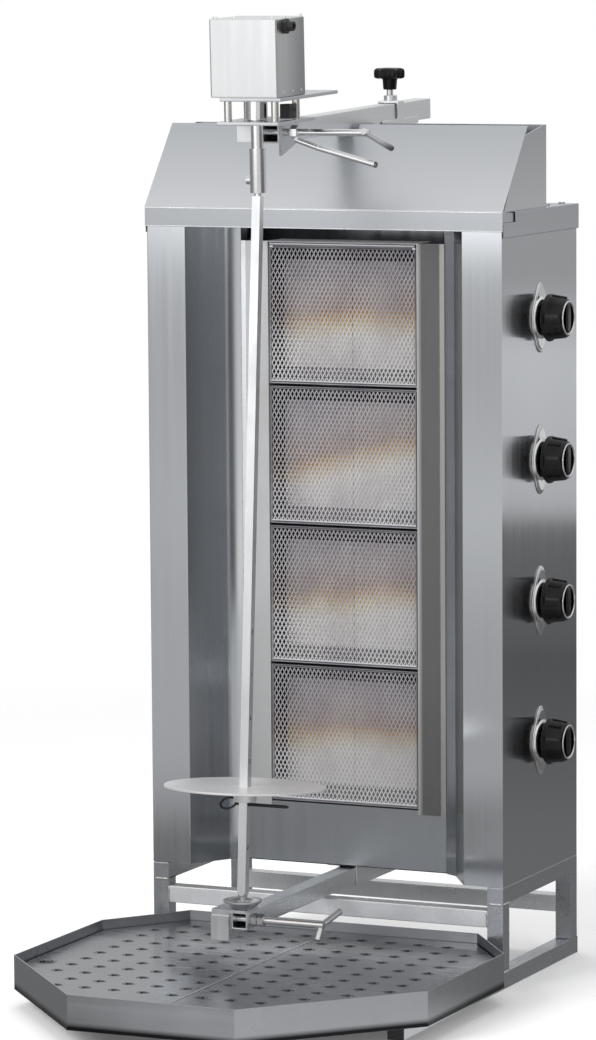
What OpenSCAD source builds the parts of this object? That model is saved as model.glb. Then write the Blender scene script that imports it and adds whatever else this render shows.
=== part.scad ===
// Vertical rotisserie broiler: four gas burners in a recess, a motor-driven spit in front of
// them on two sliding arms, and a drip tray that slides on the base rails.
// Built with the cabinet's front face at y = 0, the floor at z = 0 and +Y to the rear, and then
// moved so that the origin is the centre of the whole footprint on the floor.

/* [Cabinet] */
// Width of the cabinet
body_w = 450; // [400:1:560]
// Depth of the cabinet
body_d = 236; // [225:1:300]
// Height of the cabinet from the base frame to the top of the lid
body_h = 780; // [640:1:940]
// Thickness of the stainless sheet
sheet = 1.5; // [1:0.1:2]
// Width of each flat column beside the recess
column_w = 49; // [40:1:58]
// Depth of the recess that holds the burners
niche_d = 58; // [48:1:66]
// Width of the cover strips beside the burners
strip_w = 29; // [20:1:34]

/* [Base frame] */
// Height of the base frame
base_h = 120; // [116:1:160]
// Width of the square tube
tube = 20; // [18:1:25]
// Wall of the square tube
tube_wall = 1.5; // [1:0.1:2]
// Reach of the bottom rails in front of the cabinet
rail_reach = 290; // [240:1:330]

/* [Lid and hood] */
// Height of the hood above the lid
hood_h = 96; // [60:1:120]
// Distance from the cabinet front to the top edge of the hood
hood_set_back = 76; // [50:1:90]
// Depth of the hood at its foot
hood_d = 141; // [120:1:160]
// Height of the lip round the lid
lip_h = 29; // [22:1:34]

/* [Burners] */
// Width of a burner
burner_w = 190; // [150:1:200]
// Depth of a burner box
burner_d = 42; // [38:1:46]
// Height of the panel below the burners
burner_foot = 73; // [60:1:90]
// Room above the burners
burner_head = 44; // [38:1:60]
// Dark gap between two burners
burner_gap = 3; // [2:0.5:6]
// Thickness of the ceramic tiles
tile_t = 12; // [10:1:14]

/* [Knobs] */
// Radius of a knob at its base
knob_r = 28; // [22:1:32]
// Radius of a knob at its face
knob_face_r = 22.5; // [18:0.5:24]
// Distance from the side panel to the knob face
knob_out = 37; // [32:1:45]
// Travel of a knob when it is pushed in
knob_travel = 3; // [2:0.5:4]
// Distance of the knobs behind the cabinet front
knob_y = 117; // [100:1:130]
// Radius of a valve spindle
spindle_r = 4; // [3:0.5:5]

/* [Spit] */
// Distance of the point bearing in front of the cabinet
bearing_reach = 228.5; // [180:0.5:260]
// Lean of the spit, with its top towards the cabinet
spit_lean = 3.96; // [2:0.01:5]
// Side of the square spit rod
spit_side = 10; // [8:0.5:12]
// Radius of the meat disc
disc_r = 92; // [70:1:110]
// Thickness of the meat disc
disc_t = 2.5; // [2:0.5:4]
// Distance along the spit from its point to the lock pin
pin_s = 113; // [95:1:160]
// Radius of the lock pin
pin_r = 2.6; // [2:0.1:3]

/* [Arms and drive] */
// Width of the upper arm
upper_w = 21; // [18:1:24]
// Height of the upper arm
upper_h = 24; // [20:1:28]
// Length of the upper arm
upper_len = 440; // [420:1:480]
// Upward slope of the upper arm towards the rear
arm_slope = 1.9; // [0:0.1:3]
// Height of the upper arm's top above the lid, at the drive axis
arm_rise = 105; // [100:1:115]
// Side of the square lower arm
lower_side = 20; // [18:1:20]
// Length of the lower arm
lower_len = 440; // [400:1:460]
// Width, depth and height of the motor cover
motor_w = 83; // [70:1:95]
motor_d = 76; // [66:1:90]
motor_h = 91; // [80:1:110]
// Gap between the carrier plate and the motor plate
standoff_h = 23; // [18:1:30]
// Radius of the clamp screws
screw_r = 4; // [3:0.5:4.5]

/* [Drip tray] */
// Width of the tray
tray_w = 514; // [460:1:560]
// Depth of the tray
tray_d = 488; // [440:1:520]
// Height of the tray wall
tray_h = 40; // [30:1:46]
// Distance of the tray's rear edge behind the cabinet front
tray_back = 20; // [0:1:30]
// Pitch of the drain holes
hole_pitch = 36; // [30:1:60]
// Radius of the drain holes
hole_r = 4; // [2:0.5:5]

/* [Fits] */
// Clearance between a sliding piece and its guide
slide_gap = 0.3; // [0.2:0.05:0.5]
// Radial clearance of a turning piece in its bore
turn_gap = 0.05; // [0.03:0.01:0.1]

/* [Hidden] */

eps = 0.01;
half_w = body_w / 2;
lid_z = base_h + body_h;
lid_half = half_w + 0.5 + sheet;
cut = 1;

// Burners
burner_count = 4;
burner_z0 = base_h + burner_foot;
burner_pitch = (body_h - burner_foot - burner_head) / burner_count;
burner_h = burner_pitch - burner_gap;
burner_y = niche_d;
guard_t = 1.5;
guard_wrap = 20;
tile_count = 2;
tile_gap = 0.6;
diamond_w = 16;
diamond_h = 12;
diamond_wall = 3;
function burner_z(n) = burner_z0 + n * burner_pitch + burner_gap / 2;
function knob_z(n) = burner_z(n) + burner_h / 2;

// Recess outline: column edge, bend and inner end of each wing
wing_bend = [30, 48 / 58];
wing_in = burner_w / 2 + strip_w + 6;
wing_return = 18;
rear_flange = 14;

// Gas train
valve_x = half_w - sheet - 4;
valve_len = 34;
valve_half = 14;
nose_r = 6.5;
manifold_r = 8;
manifold_y = knob_y + 42;
pipe_r = 4;
injector_x = 132;
injector_len = 18;
mix_r = 13;
mix_x = [-60, 124];
spindle_end = 16;
bezel_t = 3;
bezel_r = 26;
bezel_tip = 41;

// Base frame levels
front_rail_z = base_h - 48;
rear_rail_z = base_h - 68;

// Lower arm
lower_top = base_h - 2;
lower_z = lower_top - lower_side / 2;
lower_front = -bearing_reach - 10;
guide_wall = 2;
guide_y = [niche_d + 6, body_d - 34];
jaw_side = 22;
carrier_t = 3;
neck_r = 6;
cup_r = 22;

// Spit and drive axis
neck_h = 8;
seat_depth = 2.5;
tip_z = lower_top + carrier_t + neck_h - seat_depth;
cone_h = 9;
socket_r = 9.2;
socket_len = 50;
socket_bore = 5.6;
socket_depth = 28;
spit_pin_r = 4;
socket_drop = 27;
arm_z = lid_z + arm_rise;
socket_z = arm_z - socket_drop - socket_len;
square_len = (socket_z - 4 - tip_z) / cos(spit_lean);
top_pin_len = 25;
engage_z = socket_z + (top_pin_len - 4) / 2;
drive_y = -bearing_reach + (engage_z - tip_z) * tan(spit_lean) - (arm_z - engage_z) * tan(arm_slope);
hub_len = 16;
hub_r = 13;

// Upper arm pieces, in the arm's own sloping frame with its origin on the drive axis
arm_front = 35;
arm_wall = 2;
plate_t = 4;
jaw_w = 20;
jaw_h = 18;
jaw_y = [12, 58];
clamp_y = arm_front + 10;
clamp_z = -upper_h / 2;
gusset_t = 4;
gusset_y = 48;
gusset_drop = 38;
nut_x = [upper_w / 2 + gusset_t + 8, upper_w / 2 + gusset_t + 16];
screw_end = 118;
plate_x = [-30, 45];
carrier_x = [-36, 40];
carrier_y = [-30, 70];
plate_y = [-33, 124];
standoff_r = 4.4;
standoff_at = [[-26, -20], [32, -20], [-26, 32], [34, 32]];
hub_out_r = 12.5;
shaft_r = 7;
cover_t = 1.2;
cover_y = [-33, -33 + motor_d];
saddle_y = 378;
saddle_len = 18;
saddle_wall = 2.5;
saddle_foot = 106;
stud_r = 4;
star_r = 21;

// Tray
tray_z = tube + slide_gap;
tray_front = tray_back - tray_d;
tray_side_back = 95;
tray_side_front = 170;
tray_rear_half = tray_w / 2 - 71;
tray_front_half = tray_w / 2 - 155;
insert_drop = 12;
insert_gap = 2;
seam = 1;
finger_r = 8;

// The origin is the centre of the footprint
arm_rear_y = drive_y + (arm_front + upper_len) * cos(arm_slope) + upper_h * sin(arm_slope);
origin = [(half_w + knob_out - tray_w / 2) / 2, (tray_front + arm_rear_y) / 2, 0];

steel = [0.74, 0.75, 0.76];
dark_steel = [0.35, 0.36, 0.38];
chrome = [0.86, 0.87, 0.88];
black = [0.05, 0.05, 0.06];
ceramic = [0.82, 0.78, 0.7];
brass = [0.75, 0.6, 0.3];

// ---------- Helpers ----------

// A box from its low corner to its high corner
module block(low, high) {
    translate(low) cube(high - low);
}

// A round bar or hole along X, Y or Z from a starting point
module bar_x(at, r, len) {
    translate(at) rotate([0, 90, 0]) cylinder(r = r, h = len, $fn = 48);
}

module bar_y(at, r, len) {
    translate(at) rotate([-90, 0, 0]) cylinder(r = r, h = len, $fn = 48);
}

module bar_z(at, r, len) {
    translate(at) cylinder(r = r, h = len, $fn = 48);
}

// A hexagonal nut along X
module hex_x(at, across, len) {
    translate(at) rotate([0, 90, 0]) cylinder(r = across / sqrt(3), h = len, $fn = 6);
}

// Unit direction from one point to the next, and its left-hand normal
function heading(a, b) = (b - a) / norm(b - a);
function left_of(d) = [-d[1], d[0]];

// The bent-sheet outline that follows a line of points, with its thickness to the left
function mitre(before, after, t) =
    let (n = left_of(before) + left_of(after)) n * (2 * t / (n * n));
function inner_point(pts, i, t) =
    i == 0 ? pts[0] + left_of(heading(pts[0], pts[1])) * t
    : i == len(pts) - 1 ? pts[i] + left_of(heading(pts[i - 1], pts[i])) * t
    : pts[i] + mitre(heading(pts[i - 1], pts[i]), heading(pts[i], pts[i + 1]), t);
function bent_sheet(pts, t) = concat(pts, [for (i = [len(pts) - 1 : -1 : 0]) inner_point(pts, i, t)]);

module left_right() {
    children();
    mirror([1, 0, 0]) children();
}

module placed() {
    translate(-origin) children();
}

// The sloping frame of the upper arm, with its origin on the drive axis at the arm's top
module on_arm() {
    translate([0, drive_y, arm_z]) rotate([arm_slope, 0, 0]) children();
}

// The leaning frame of the spit, with its origin at the point
module on_spit() {
    translate([0, -bearing_reach, tip_z]) rotate([-spit_lean, 0, 0]) children();
}

// ---------- Base frame ----------

module side_frame() {
    x0 = half_w - tube;
    w = tube_wall;
    color(steel) difference() {
        union() {
            block([x0, -rail_reach, 0], [half_w, body_d, tube]);
            block([x0, 0, base_h - tube], [half_w, body_d, base_h]);
            block([x0, 0, tube / 2], [half_w, tube, base_h - tube / 2]);
            block([x0, body_d - tube, tube / 2], [half_w, body_d, base_h - tube / 2]);
        }
        block([x0 + w, -rail_reach - cut, w], [half_w - w, body_d + cut, tube - w]);
        block([x0 + w, w, base_h - tube + w], [half_w - w, body_d - w, base_h - w]);
        block([x0 + w, w, w], [half_w - w, tube - w, base_h - w]);
        block([x0 + w, body_d - tube + w, w], [half_w - w, body_d - w, base_h - w]);
    }
}

module side_frame_left() {
    placed() mirror([1, 0, 0]) side_frame();
}

module side_frame_right() {
    placed() side_frame();
}

module cross_rail(y, z) {
    x0 = half_w - tube;
    difference() {
        block([-x0, y, z], [x0, y + tube, z + tube]);
        block([-x0 - cut, y + tube_wall, z + tube_wall],
            [x0 + cut, y + tube - tube_wall, z + tube - tube_wall]);
    }
}

module cross_rails() {
    placed() color(steel) {
        cross_rail(0, front_rail_z);
        cross_rail(body_d - tube, rear_rail_z);
    }
}

module end_plug() {
    plug_t = 2;
    plug_in = 8;
    inside = tube - 2 * tube_wall;
    block([-tube / 2, -plug_t, -tube / 2], [tube / 2, 0, tube / 2]);
    block([-inside / 2, 0, -inside / 2], [inside / 2, plug_in, inside / 2]);
}

module rail_end_plugs() {
    placed() color(black) left_right() translate([half_w - tube / 2, 0, tube / 2]) {
        translate([0, -rail_reach, 0]) end_plug();
        translate([0, body_d, 0]) mirror([0, 1, 0]) end_plug();
    }
}

// ---------- Cabinet ----------

// The cabinet floor: it fits between the wings at the front and the side panels behind them
function floor_outline(front) =
    let (x0 = wing_in, x1 = half_w - sheet, step = niche_d + wing_return, rear = body_d - 2 * sheet)
    [[-x0, front], [x0, front], [x0, step], [x1, step], [x1, rear], [-x1, rear], [-x1, step], [-x0, step]];

module bottom_panel() {
    placed() color(steel)
        linear_extrude_z(base_h, base_h + sheet) polygon(floor_outline(niche_d + sheet));
}

module back_panel() {
    slot_w = 60;
    slot_h = 5;
    placed() color(steel) difference() {
        block([-half_w + sheet, body_d - sheet, base_h + sheet],
            [half_w - sheet, body_d, lid_z - sheet]);
        for (side = [-1, 1], row = [0 : 7])
            translate([side * 90 - slot_w / 2, body_d - sheet - cut, lid_z - 80 - row * 18])
                cube([slot_w, sheet + 2 * cut, slot_h]);
        bar_y([half_w - 50, body_d - sheet - cut, base_h + 60], 13, sheet + 2 * cut);
    }
}

wing = [
    [half_w - sheet - rear_flange, body_d - sheet],
    [half_w, body_d - sheet],
    [half_w, 0],
    [half_w - column_w, 0],
    [half_w - column_w - wing_bend[0], niche_d * wing_bend[1]],
    [wing_in, niche_d],
    [wing_in, niche_d + wing_return]
];

module side_panel() {
    color(steel) translate([0, 0, base_h]) linear_extrude(body_h - sheet)
        polygon(bent_sheet([for (i = [len(wing) - 1 : -1 : 0]) wing[i]], sheet));
}

module left_side_panel() {
    placed() mirror([1, 0, 0]) side_panel();
}

module right_side_panel() {
    placed() difference() {
        side_panel();
        for (n = [0 : burner_count - 1])
            bar_x([half_w - 2 * sheet, knob_y, knob_z(n)], nose_r + 0.5, 3 * sheet);
    }
}

module burner_surround() {
    x0 = burner_w / 2;
    top = lid_z - burner_head + 4;
    foot = burner_z0 - 5;
    placed() color(steel) {
        left_right() {
            block([x0, burner_y - sheet, foot], [x0 + strip_w, burner_y, top]);
            block([x0, burner_y - sheet, burner_z0], [x0 + sheet, burner_y + burner_d, top]);
        }
        block([-x0 - eps, burner_y, top - sheet], [x0 + eps, burner_y + burner_d, top]);
    }
}

module linear_extrude_z(low, high) {
    translate([0, 0, low]) linear_extrude(high - low) children();
}

module lower_recess_panel() {
    x0 = wing_in - 0.2;
    placed() color(steel) {
        block([-x0, burner_y, base_h + sheet], [x0, burner_y + sheet, burner_z0]);
        block([-burner_w / 2, burner_y, burner_z0 - sheet],
            [burner_w / 2, burner_y + burner_d, burner_z0]);
    }
}

// ---------- Lid and hood ----------

module lid() {
    notch = [22, 38, 12];
    mouth = [notch[0] + 6, 14];
    placed() color(steel) difference() {
        block([-lid_half, 0, lid_z - lip_h], [lid_half, body_d + sheet + 0.5, lid_z]);
        block([-lid_half + sheet, -cut, lid_z - lip_h - cut],
            [lid_half - sheet, body_d + 0.5, lid_z - sheet]);
        block([-half_w + mouth[0], mouth[1], lid_z - 2 * sheet],
            [half_w - mouth[0], hood_d - mouth[1], lid_z + cut]);
        left_right() block([lid_half - notch[0], -cut, lid_z - notch[2]],
            [lid_half + cut, notch[1], lid_z + cut]);
    }
}

module hood_front() {
    slot_half = upper_w / 2 + 6;
    front_lip = lip_h - 7;
    placed() color(steel) difference() {
        rotate([90, 0, 90]) translate([0, 0, -lid_half]) linear_extrude(2 * lid_half)
            polygon(bent_sheet([[0, lid_z - front_lip], [0, lid_z + sheet],
                [hood_set_back, lid_z + hood_h]], sheet));
        block([-slot_half, 0, arm_bottom(0) - 3], [slot_half, hood_d, lid_z + hood_h + 10]);
    }
}

// Height of the underside of the upper arm at a place y behind the cabinet front
function arm_bottom(y) = arm_z + (y - drive_y) * tan(arm_slope) - upper_h / cos(arm_slope);

module hood_shell() {
    slot_half = upper_w / 2 + 6;
    x0 = half_w - 1;
    z0 = lid_z;
    foot_y = hood_set_back * 0.12 + 1;
    shoulder_z = lid_z + hood_h - 12;
    shoulder_y = hood_set_back * (shoulder_z - lid_z - sheet) / (hood_h - sheet) + 1;
    placed() color(steel) difference() {
        union() {
            left_right() rotate([90, 0, 90]) translate([0, 0, x0 - sheet]) linear_extrude(sheet)
                difference() {
                    polygon([[foot_y, z0], [hood_d, z0], [hood_d, lid_z + hood_h],
                        [hood_d - 8, lid_z + hood_h], [shoulder_y, shoulder_z]]);
                    translate([shoulder_y, lid_z + hood_h + 22]) circle(r = 33, $fn = 64);
                }
            block([-x0, hood_d - sheet, z0], [x0, hood_d, lid_z + hood_h]);
            left_right() block([x0 - 14, foot_y, z0], [x0 - sheet / 2, hood_d - sheet / 2, z0 + sheet]);
        }
        block([-slot_half, 0, arm_bottom(hood_d) - 4], [slot_half, hood_d + cut, lid_z + hood_h + 10]);
    }
}

module panel_screws() {
    head_r = 4;
    head_h = 2;
    placed() color(chrome) {
        left_right() for (y = [172, body_d - 16])
            bar_z([half_w - 13, y, lid_z], head_r, head_h);
        for (x = [-half_w + 30, 0, half_w - 30], z = [base_h + 24, base_h + body_h / 2, lid_z - 120])
            bar_y([x, body_d, z], head_r, head_h);
    }
}

// ---------- Burners ----------

module burner_boxes() {
    x0 = burner_w / 2;
    y1 = burner_y + burner_d;
    placed() color(dark_steel) for (n = [0 : burner_count - 1]) {
        z = burner_z(n);
        difference() {
            block([-x0, burner_y + guard_t, z], [x0, y1, z + burner_h]);
            block([-x0 + sheet, burner_y - cut, z + sheet], [x0 - sheet, y1 - sheet, z + burner_h - sheet]);
        }
    }
}

module ceramic_tiles() {
    x0 = burner_w / 2 - sheet - 0.3;
    y1 = burner_y + burner_d - sheet;
    tile_w = (2 * x0 - (tile_count - 1) * tile_gap) / tile_count;
    placed() color(ceramic) for (n = [0 : burner_count - 1], i = [0 : tile_count - 1])
        translate([-x0 + i * (tile_w + tile_gap), y1 - tile_t, burner_z(n) + sheet + 8])
            cube([tile_w, tile_t, burner_h - 2 * sheet - 16]);
}

// Staggered diamond openings inside a frame of the given size
module diamonds(w, h) {
    cols = floor((w - 2 * diamond_wall) / diamond_w);
    rows = floor((h - 2 * diamond_wall) / diamond_h);
    for (i = [0 : cols - 1], j = [0 : rows - 1])
        translate([(i - (cols - 1) / 2) * diamond_w, (j - (rows - 1) / 2) * diamond_h])
            polygon([[-diamond_w / 2 + 1, 0], [0, -diamond_h / 2 + 1], [diamond_w / 2 - 1, 0],
                [0, diamond_h / 2 - 1]]);
}

module mesh_guard(n) {
    w = burner_w - 2 * sheet - 0.6;
    z = burner_z(n) + sheet + 0.3;
    h = burner_h - 2 * sheet - 0.6;
    placed() color(dark_steel) {
        translate([0, burner_y + guard_t, z + h / 2]) rotate([90, 0, 0]) linear_extrude(guard_t)
            difference() {
                square([w, h], center = true);
                diamonds(w, h);
            }
        left_right() block([w / 2 - guard_t, burner_y + guard_t, z], [w / 2, burner_y + guard_wrap, z + h]);
    }
}

module mixing_tubes() {
    y1 = burner_y + burner_d;
    placed() color(steel) for (n = [0 : burner_count - 1]) difference() {
        union() {
            bar_x([mix_x[0], knob_y, knob_z(n)], mix_r, mix_x[1] - mix_x[0]);
            block([-45, y1, knob_z(n) - 8], [45, knob_y, knob_z(n) + 8]);
        }
        bar_x([mix_x[0] + sheet, knob_y, knob_z(n)], mix_r - sheet, mix_x[1] - mix_x[0]);
    }
}

// ---------- Gas train ----------

module gas_manifold() {
    x = valve_x - valve_len / 2;
    low = base_h + 40;
    placed() color(steel) {
        bar_z([x, manifold_y, low], manifold_r, knob_z(burner_count - 1) + 20 - low);
        for (n = [0 : burner_count - 1])
            bar_y([x, knob_y + valve_half, knob_z(n)], pipe_r + 2, manifold_y - knob_y - valve_half);
        bar_x([x - manifold_r - 4, manifold_y, base_h + 60], manifold_r + 3, 2 * manifold_r + 8);
    }
}

module gas_inlet() {
    x = half_w - 50;
    placed() color(brass) difference() {
        union() {
            bar_y([x, manifold_y + manifold_r + 4, base_h + 60], 8,
                body_d + 26 - manifold_y - manifold_r - 4);
            bar_y([x, body_d, base_h + 60], 16, 5);
            bar_y([x, body_d + 5, base_h + 60], 10.4, 21);
            block([x - 8, manifold_y - 8, base_h + 52],
                [valve_x - valve_len / 2 - manifold_r - 4, manifold_y + manifold_r + 6, base_h + 68]);
        }
        bar_y([x, manifold_y, base_h + 60], 5.5, body_d);
    }
}

module gas_valves() {
    placed() color(brass) for (n = [0 : burner_count - 1]) difference() {
        union() {
            block([valve_x - valve_len, knob_y - valve_half, knob_z(n) - valve_half],
                [valve_x, knob_y + valve_half, knob_z(n) + valve_half]);
            bar_x([valve_x - cut, knob_y, knob_z(n)], nose_r, half_w - valve_x + 2 + cut);
        }
        bar_x([valve_x - spindle_end, knob_y, knob_z(n)], spindle_r + turn_gap, 60);
    }
}

module feed_pipes() {
    end = valve_x - valve_len;
    placed() color(brass) for (n = [0 : burner_count - 1]) difference() {
        union() {
            bar_x([injector_x + injector_len - cut, knob_y, knob_z(n)], pipe_r,
                end - injector_x - injector_len + cut);
            hex_x([injector_x, knob_y, knob_z(n)], 14, injector_len);
        }
        bar_x([injector_x - cut, knob_y, knob_z(n)], 0.8, 12);
    }
}

module thermocouples() {
    start = burner_w / 2 + sheet + 0.3;
    placed() color(brass) for (n = [0 : burner_count - 1])
        bar_x([start, knob_y - 12, knob_z(n) - 12], 1.6, valve_x - valve_len - start);
}

module knob_bezels() {
    placed() color(chrome) for (n = [0 : burner_count - 1])
        translate([half_w, knob_y, knob_z(n)]) rotate([90, 0, 90]) linear_extrude(bezel_t)
            difference() {
                union() {
                    circle(r = bezel_r, $fn = 72);
                    bezel_points();
                }
                circle(r = nose_r + 0.5, $fn = 48);
            }
}

// The pointed top and foot of a bezel, tangent to its round middle
module bezel_points() {
    a = acos(bezel_r / bezel_tip);
    side = bezel_r * sin(a);
    up = bezel_r * cos(a);
    polygon([[0, bezel_tip], [-side, up], [-side, -up], [0, -bezel_tip], [side, -up], [side, up]]);
}

module spindle(n) {
    flat = 1.2;
    start = valve_x - spindle_end + 1;
    placed() color(steel) translate([start, knob_y, knob_z(n)]) difference() {
        rotate([0, 90, 0]) cylinder(r = spindle_r, h = half_w + 20 - start, $fn = 48);
        block([half_w + 4 - start, -spindle_r, spindle_r - flat],
            [half_w + 30 - start, spindle_r, spindle_r + 1]);
    }
}

module knob(n) {
    back = bezel_t + knob_travel + 1;
    wall = 3;
    depth = knob_out - back;
    placed() color(black) translate([half_w + back, knob_y, knob_z(n)]) {
        difference() {
            union() {
                difference() {
                    rotate([0, 90, 0]) rotate_extrude($fn = 72) polygon([[0, 0], [knob_r, 0],
                        [knob_r, 3], [knob_face_r + 1, depth - 2], [knob_face_r - 1, depth], [0, depth]]);
                    rotate([0, 90, 0]) translate([0, 0, -cut]) cylinder(r = knob_face_r - wall,
                        h = depth - wall + cut, $fn = 72);
                }
                bar_x([0, 0, 0], spindle_r + 4, depth - wall + eps);
            }
            difference() {
                bar_x([-cut, 0, 0], spindle_r + turn_gap, 20 - back + knob_travel + 1.5 + cut);
                block([-2 * cut, -spindle_r - 1, spindle_r - 1.2 + 0.1], [40, spindle_r + 1, spindle_r + 1]);
            }
        }
        block([depth - 0.5, -2, -knob_face_r + 3], [depth, 2, knob_face_r - 3]);
    }
}

// ---------- Upper arm and drive ----------

module arm_space(gap) {
    block([-upper_w / 2 - gap, -200, -upper_h - gap], [upper_w / 2 + gap, 700, gap]);
}

module arm_bracket() {
    out_x = upper_w / 2 + slide_gap + saddle_wall;
    web_x = out_x - 1;
    base = -upper_h - slide_gap - saddle_wall;
    nut_h = 7;
    placed() color(steel) difference() {
        union() {
            on_arm() {
                block([-out_x, saddle_y - saddle_len / 2, base],
                    [out_x, saddle_y + saddle_len / 2, slide_gap + saddle_wall]);
                block([-out_x, saddle_y - saddle_foot / 2, base],
                    [out_x, saddle_y + saddle_foot / 2, -upper_h + 6]);
                bar_z([0, saddle_y, slide_gap], 8, saddle_wall + nut_h);
            }
            for (y = [hood_d + 12, body_d - 26])
                block([-web_x, y, lid_z], [web_x, y + 3, arm_bottom(y) - 1]);
            block([-out_x - 14, hood_d + 12, lid_z], [out_x + 14, body_d - 23, lid_z + 3]);
        }
        on_arm() arm_space(slide_gap);
        on_arm() bar_z([0, saddle_y, 0], stud_r + turn_gap, 20);
    }
}

module star_knob() {
    lobes = 7;
    placed() color(black) on_arm() translate([0, saddle_y, 0]) {
        bar_z([0, 0, slide_gap], stud_r, 22);
        bar_z([0, 0, 20], 9, 11);
        difference() {
            bar_z([0, 0, 30], star_r, 12);
            for (i = [0 : lobes - 1]) rotate([0, 0, i * 360 / lobes])
                bar_z([star_r + 2, 0, 29], 6, 14);
        }
    }
}

module upper_arm() {
    placed() color(steel) on_arm() difference() {
        block([-upper_w / 2, arm_front, -upper_h], [upper_w / 2, arm_front + upper_len, 0]);
        block([-upper_w / 2 + arm_wall, arm_front - cut, -upper_h + arm_wall],
            [upper_w / 2 - arm_wall, arm_front + upper_len + cut, -arm_wall]);
        bar_x([-upper_w, clamp_y, clamp_z], screw_r + 0.1, 2 * upper_w);
    }
}

module motor_carrier() {
    x0 = upper_w / 2;
    placed() color(steel) on_arm() difference() {
        union() {
            block([carrier_x[0], carrier_y[0], 0], [carrier_x[1], carrier_y[1], plate_t]);
            translate([x0, 0, 0]) rotate([90, 0, 90]) linear_extrude(gusset_t)
                polygon([[arm_front, plate_t / 2], [arm_front, -gusset_drop],
                    [arm_front + gusset_y, -upper_h], [arm_front + gusset_y, plate_t / 2]]);
        }
        bar_z([0, 0, -cut], shaft_r + 1, plate_t + 2 * cut);
        bar_x([0, clamp_y, clamp_z], screw_r + 0.1, 40);
    }
}

module upper_clamp_jaw() {
    x1 = -upper_w / 2;
    placed() color(steel) on_arm() difference() {
        block([x1 - jaw_w, jaw_y[0], clamp_z - jaw_h / 2], [x1, jaw_y[1], clamp_z + jaw_h / 2]);
        bar_x([x1 - jaw_w + 3, clamp_y, clamp_z], screw_r + turn_gap, jaw_w);
    }
}

// A bar that turns on the clamp screw: from one point to another, with a round section
module rod_between(a, b, r) {
    d = b - a;
    translate(a) rotate([0, acos(d[2] / norm(d)), atan2(d[1], d[0])])
        cylinder(r = r, h = norm(d), $fn = 32);
}

module upper_clamp_screw() {
    start = -upper_w / 2 - jaw_w + 4;
    placed() color(chrome) on_arm() translate([0, clamp_y, clamp_z]) {
        bar_x([start, 0, 0], screw_r, screw_end - start);
        rod_between([screw_end - 4, -7, 2.2], [screw_end - 4, 70, -22], 3.6);
    }
}

module lock_lever() {
    nut = 14;
    placed() color(chrome) on_arm() translate([0, clamp_y, clamp_z]) {
        difference() {
            union() {
                hex_x([nut_x[0], 0, 0], nut, nut_x[1] - nut_x[0]);
                lever_rods();
            }
            bar_x([0, 0, 0], screw_r + turn_gap, 60);
        }
    }
}

module lever_rods() {
    bend = [54, 0, -17];
    rod_between([nut_x[0] + 4, 0, -8], bend, 3.5);
    translate(bend) sphere(r = 3.8, $fn = 32);
    rod_between(bend, [126, 0, -36], 3.5);
}

module standoffs() {
    placed() color(chrome) on_arm() for (p = standoff_at)
        bar_z([p[0], p[1], plate_t], standoff_r, standoff_h);
}

module motor_plate() {
    z0 = plate_t + standoff_h;
    placed() color(dark_steel) on_arm() difference() {
        block([plate_x[0], plate_y[0], z0], [plate_x[1], plate_y[1], z0 + plate_t]);
        bar_z([0, 0, z0 - cut], hub_out_r + 0.3, plate_t + 2 * cut);
    }
}

module gearbox() {
    z0 = plate_t + standoff_h;
    placed() color(dark_steel) on_arm() difference() {
        union() {
            bar_z([0, 0, plate_t + 1], hub_out_r, standoff_h + plate_t);
            block([-28, -28, z0 + plate_t], [28, 36, z0 + plate_t + 34]);
        }
        bar_z([0, 0, 0], shaft_r + turn_gap, plate_t + 24);
    }
}

module motor() {
    z0 = 2 * plate_t + standoff_h + 34;
    placed() color(steel) on_arm() {
        bar_z([0, 4, z0], 27, 38);
        bar_z([0, 4, z0 + 38], 8, 4);
    }
}

module motor_cover() {
    z0 = 2 * plate_t + standoff_h;
    x0 = motor_w / 2;
    placed() color([0.9, 0.9, 0.9]) on_arm() difference() {
        block([-x0, cover_y[0], z0], [x0, cover_y[1], z0 + motor_h]);
        block([-x0 + cover_t, cover_y[0] + cover_t, z0 - cut],
            [x0 - cover_t, cover_y[1] - cover_t, z0 + motor_h - cover_t]);
        bar_x([0, cover_y[0] + 22, z0 + motor_h - 12], 6, 60);
    }
}

module cable_gland() {
    z0 = 2 * plate_t + standoff_h + motor_h - 12;
    placed() color(black) on_arm() translate([motor_w / 2, cover_y[0] + 22, z0]) difference() {
        union() {
            bar_x([-8, 0, 0], 6, 10);
            hex_x([0, 0, 0], 15, 5);
            bar_x([0, 0, 0], 5.5, 12);
        }
        bar_x([-9, 0, 0], 3.2, 30);
    }
}

module drive_socket() {
    placed() color(chrome) on_arm() difference() {
        union() {
            bar_z([0, 0, -socket_drop - socket_len], socket_r, socket_len);
            bar_z([0, 0, -socket_drop - cut], shaft_r, socket_drop + plate_t + 20 + cut);
            bar_x([-socket_r - 4, 0, -socket_drop - socket_len + 14], 5, 8);
        }
        bar_z([0, 0, -socket_drop - socket_len - cut], socket_bore, socket_depth + cut);
    }
}

// ---------- Lower arm and bearing ----------

module lower_guide() {
    in_x = lower_side / 2 + slide_gap;
    out_x = in_x + guide_wall;
    in_z = lower_top - lower_side - slide_gap;
    placed() color(steel) difference() {
        union() {
            block([-out_x, guide_y[0], in_z - guide_wall], [out_x, guide_y[1], base_h]);
            block([-out_x - 14, guide_y[0], base_h - 1.6], [out_x + 14, guide_y[1], base_h]);
        }
        block([-in_x, guide_y[0] - cut, in_z], [in_x, guide_y[1] + cut, base_h + cut]);
    }
}

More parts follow.
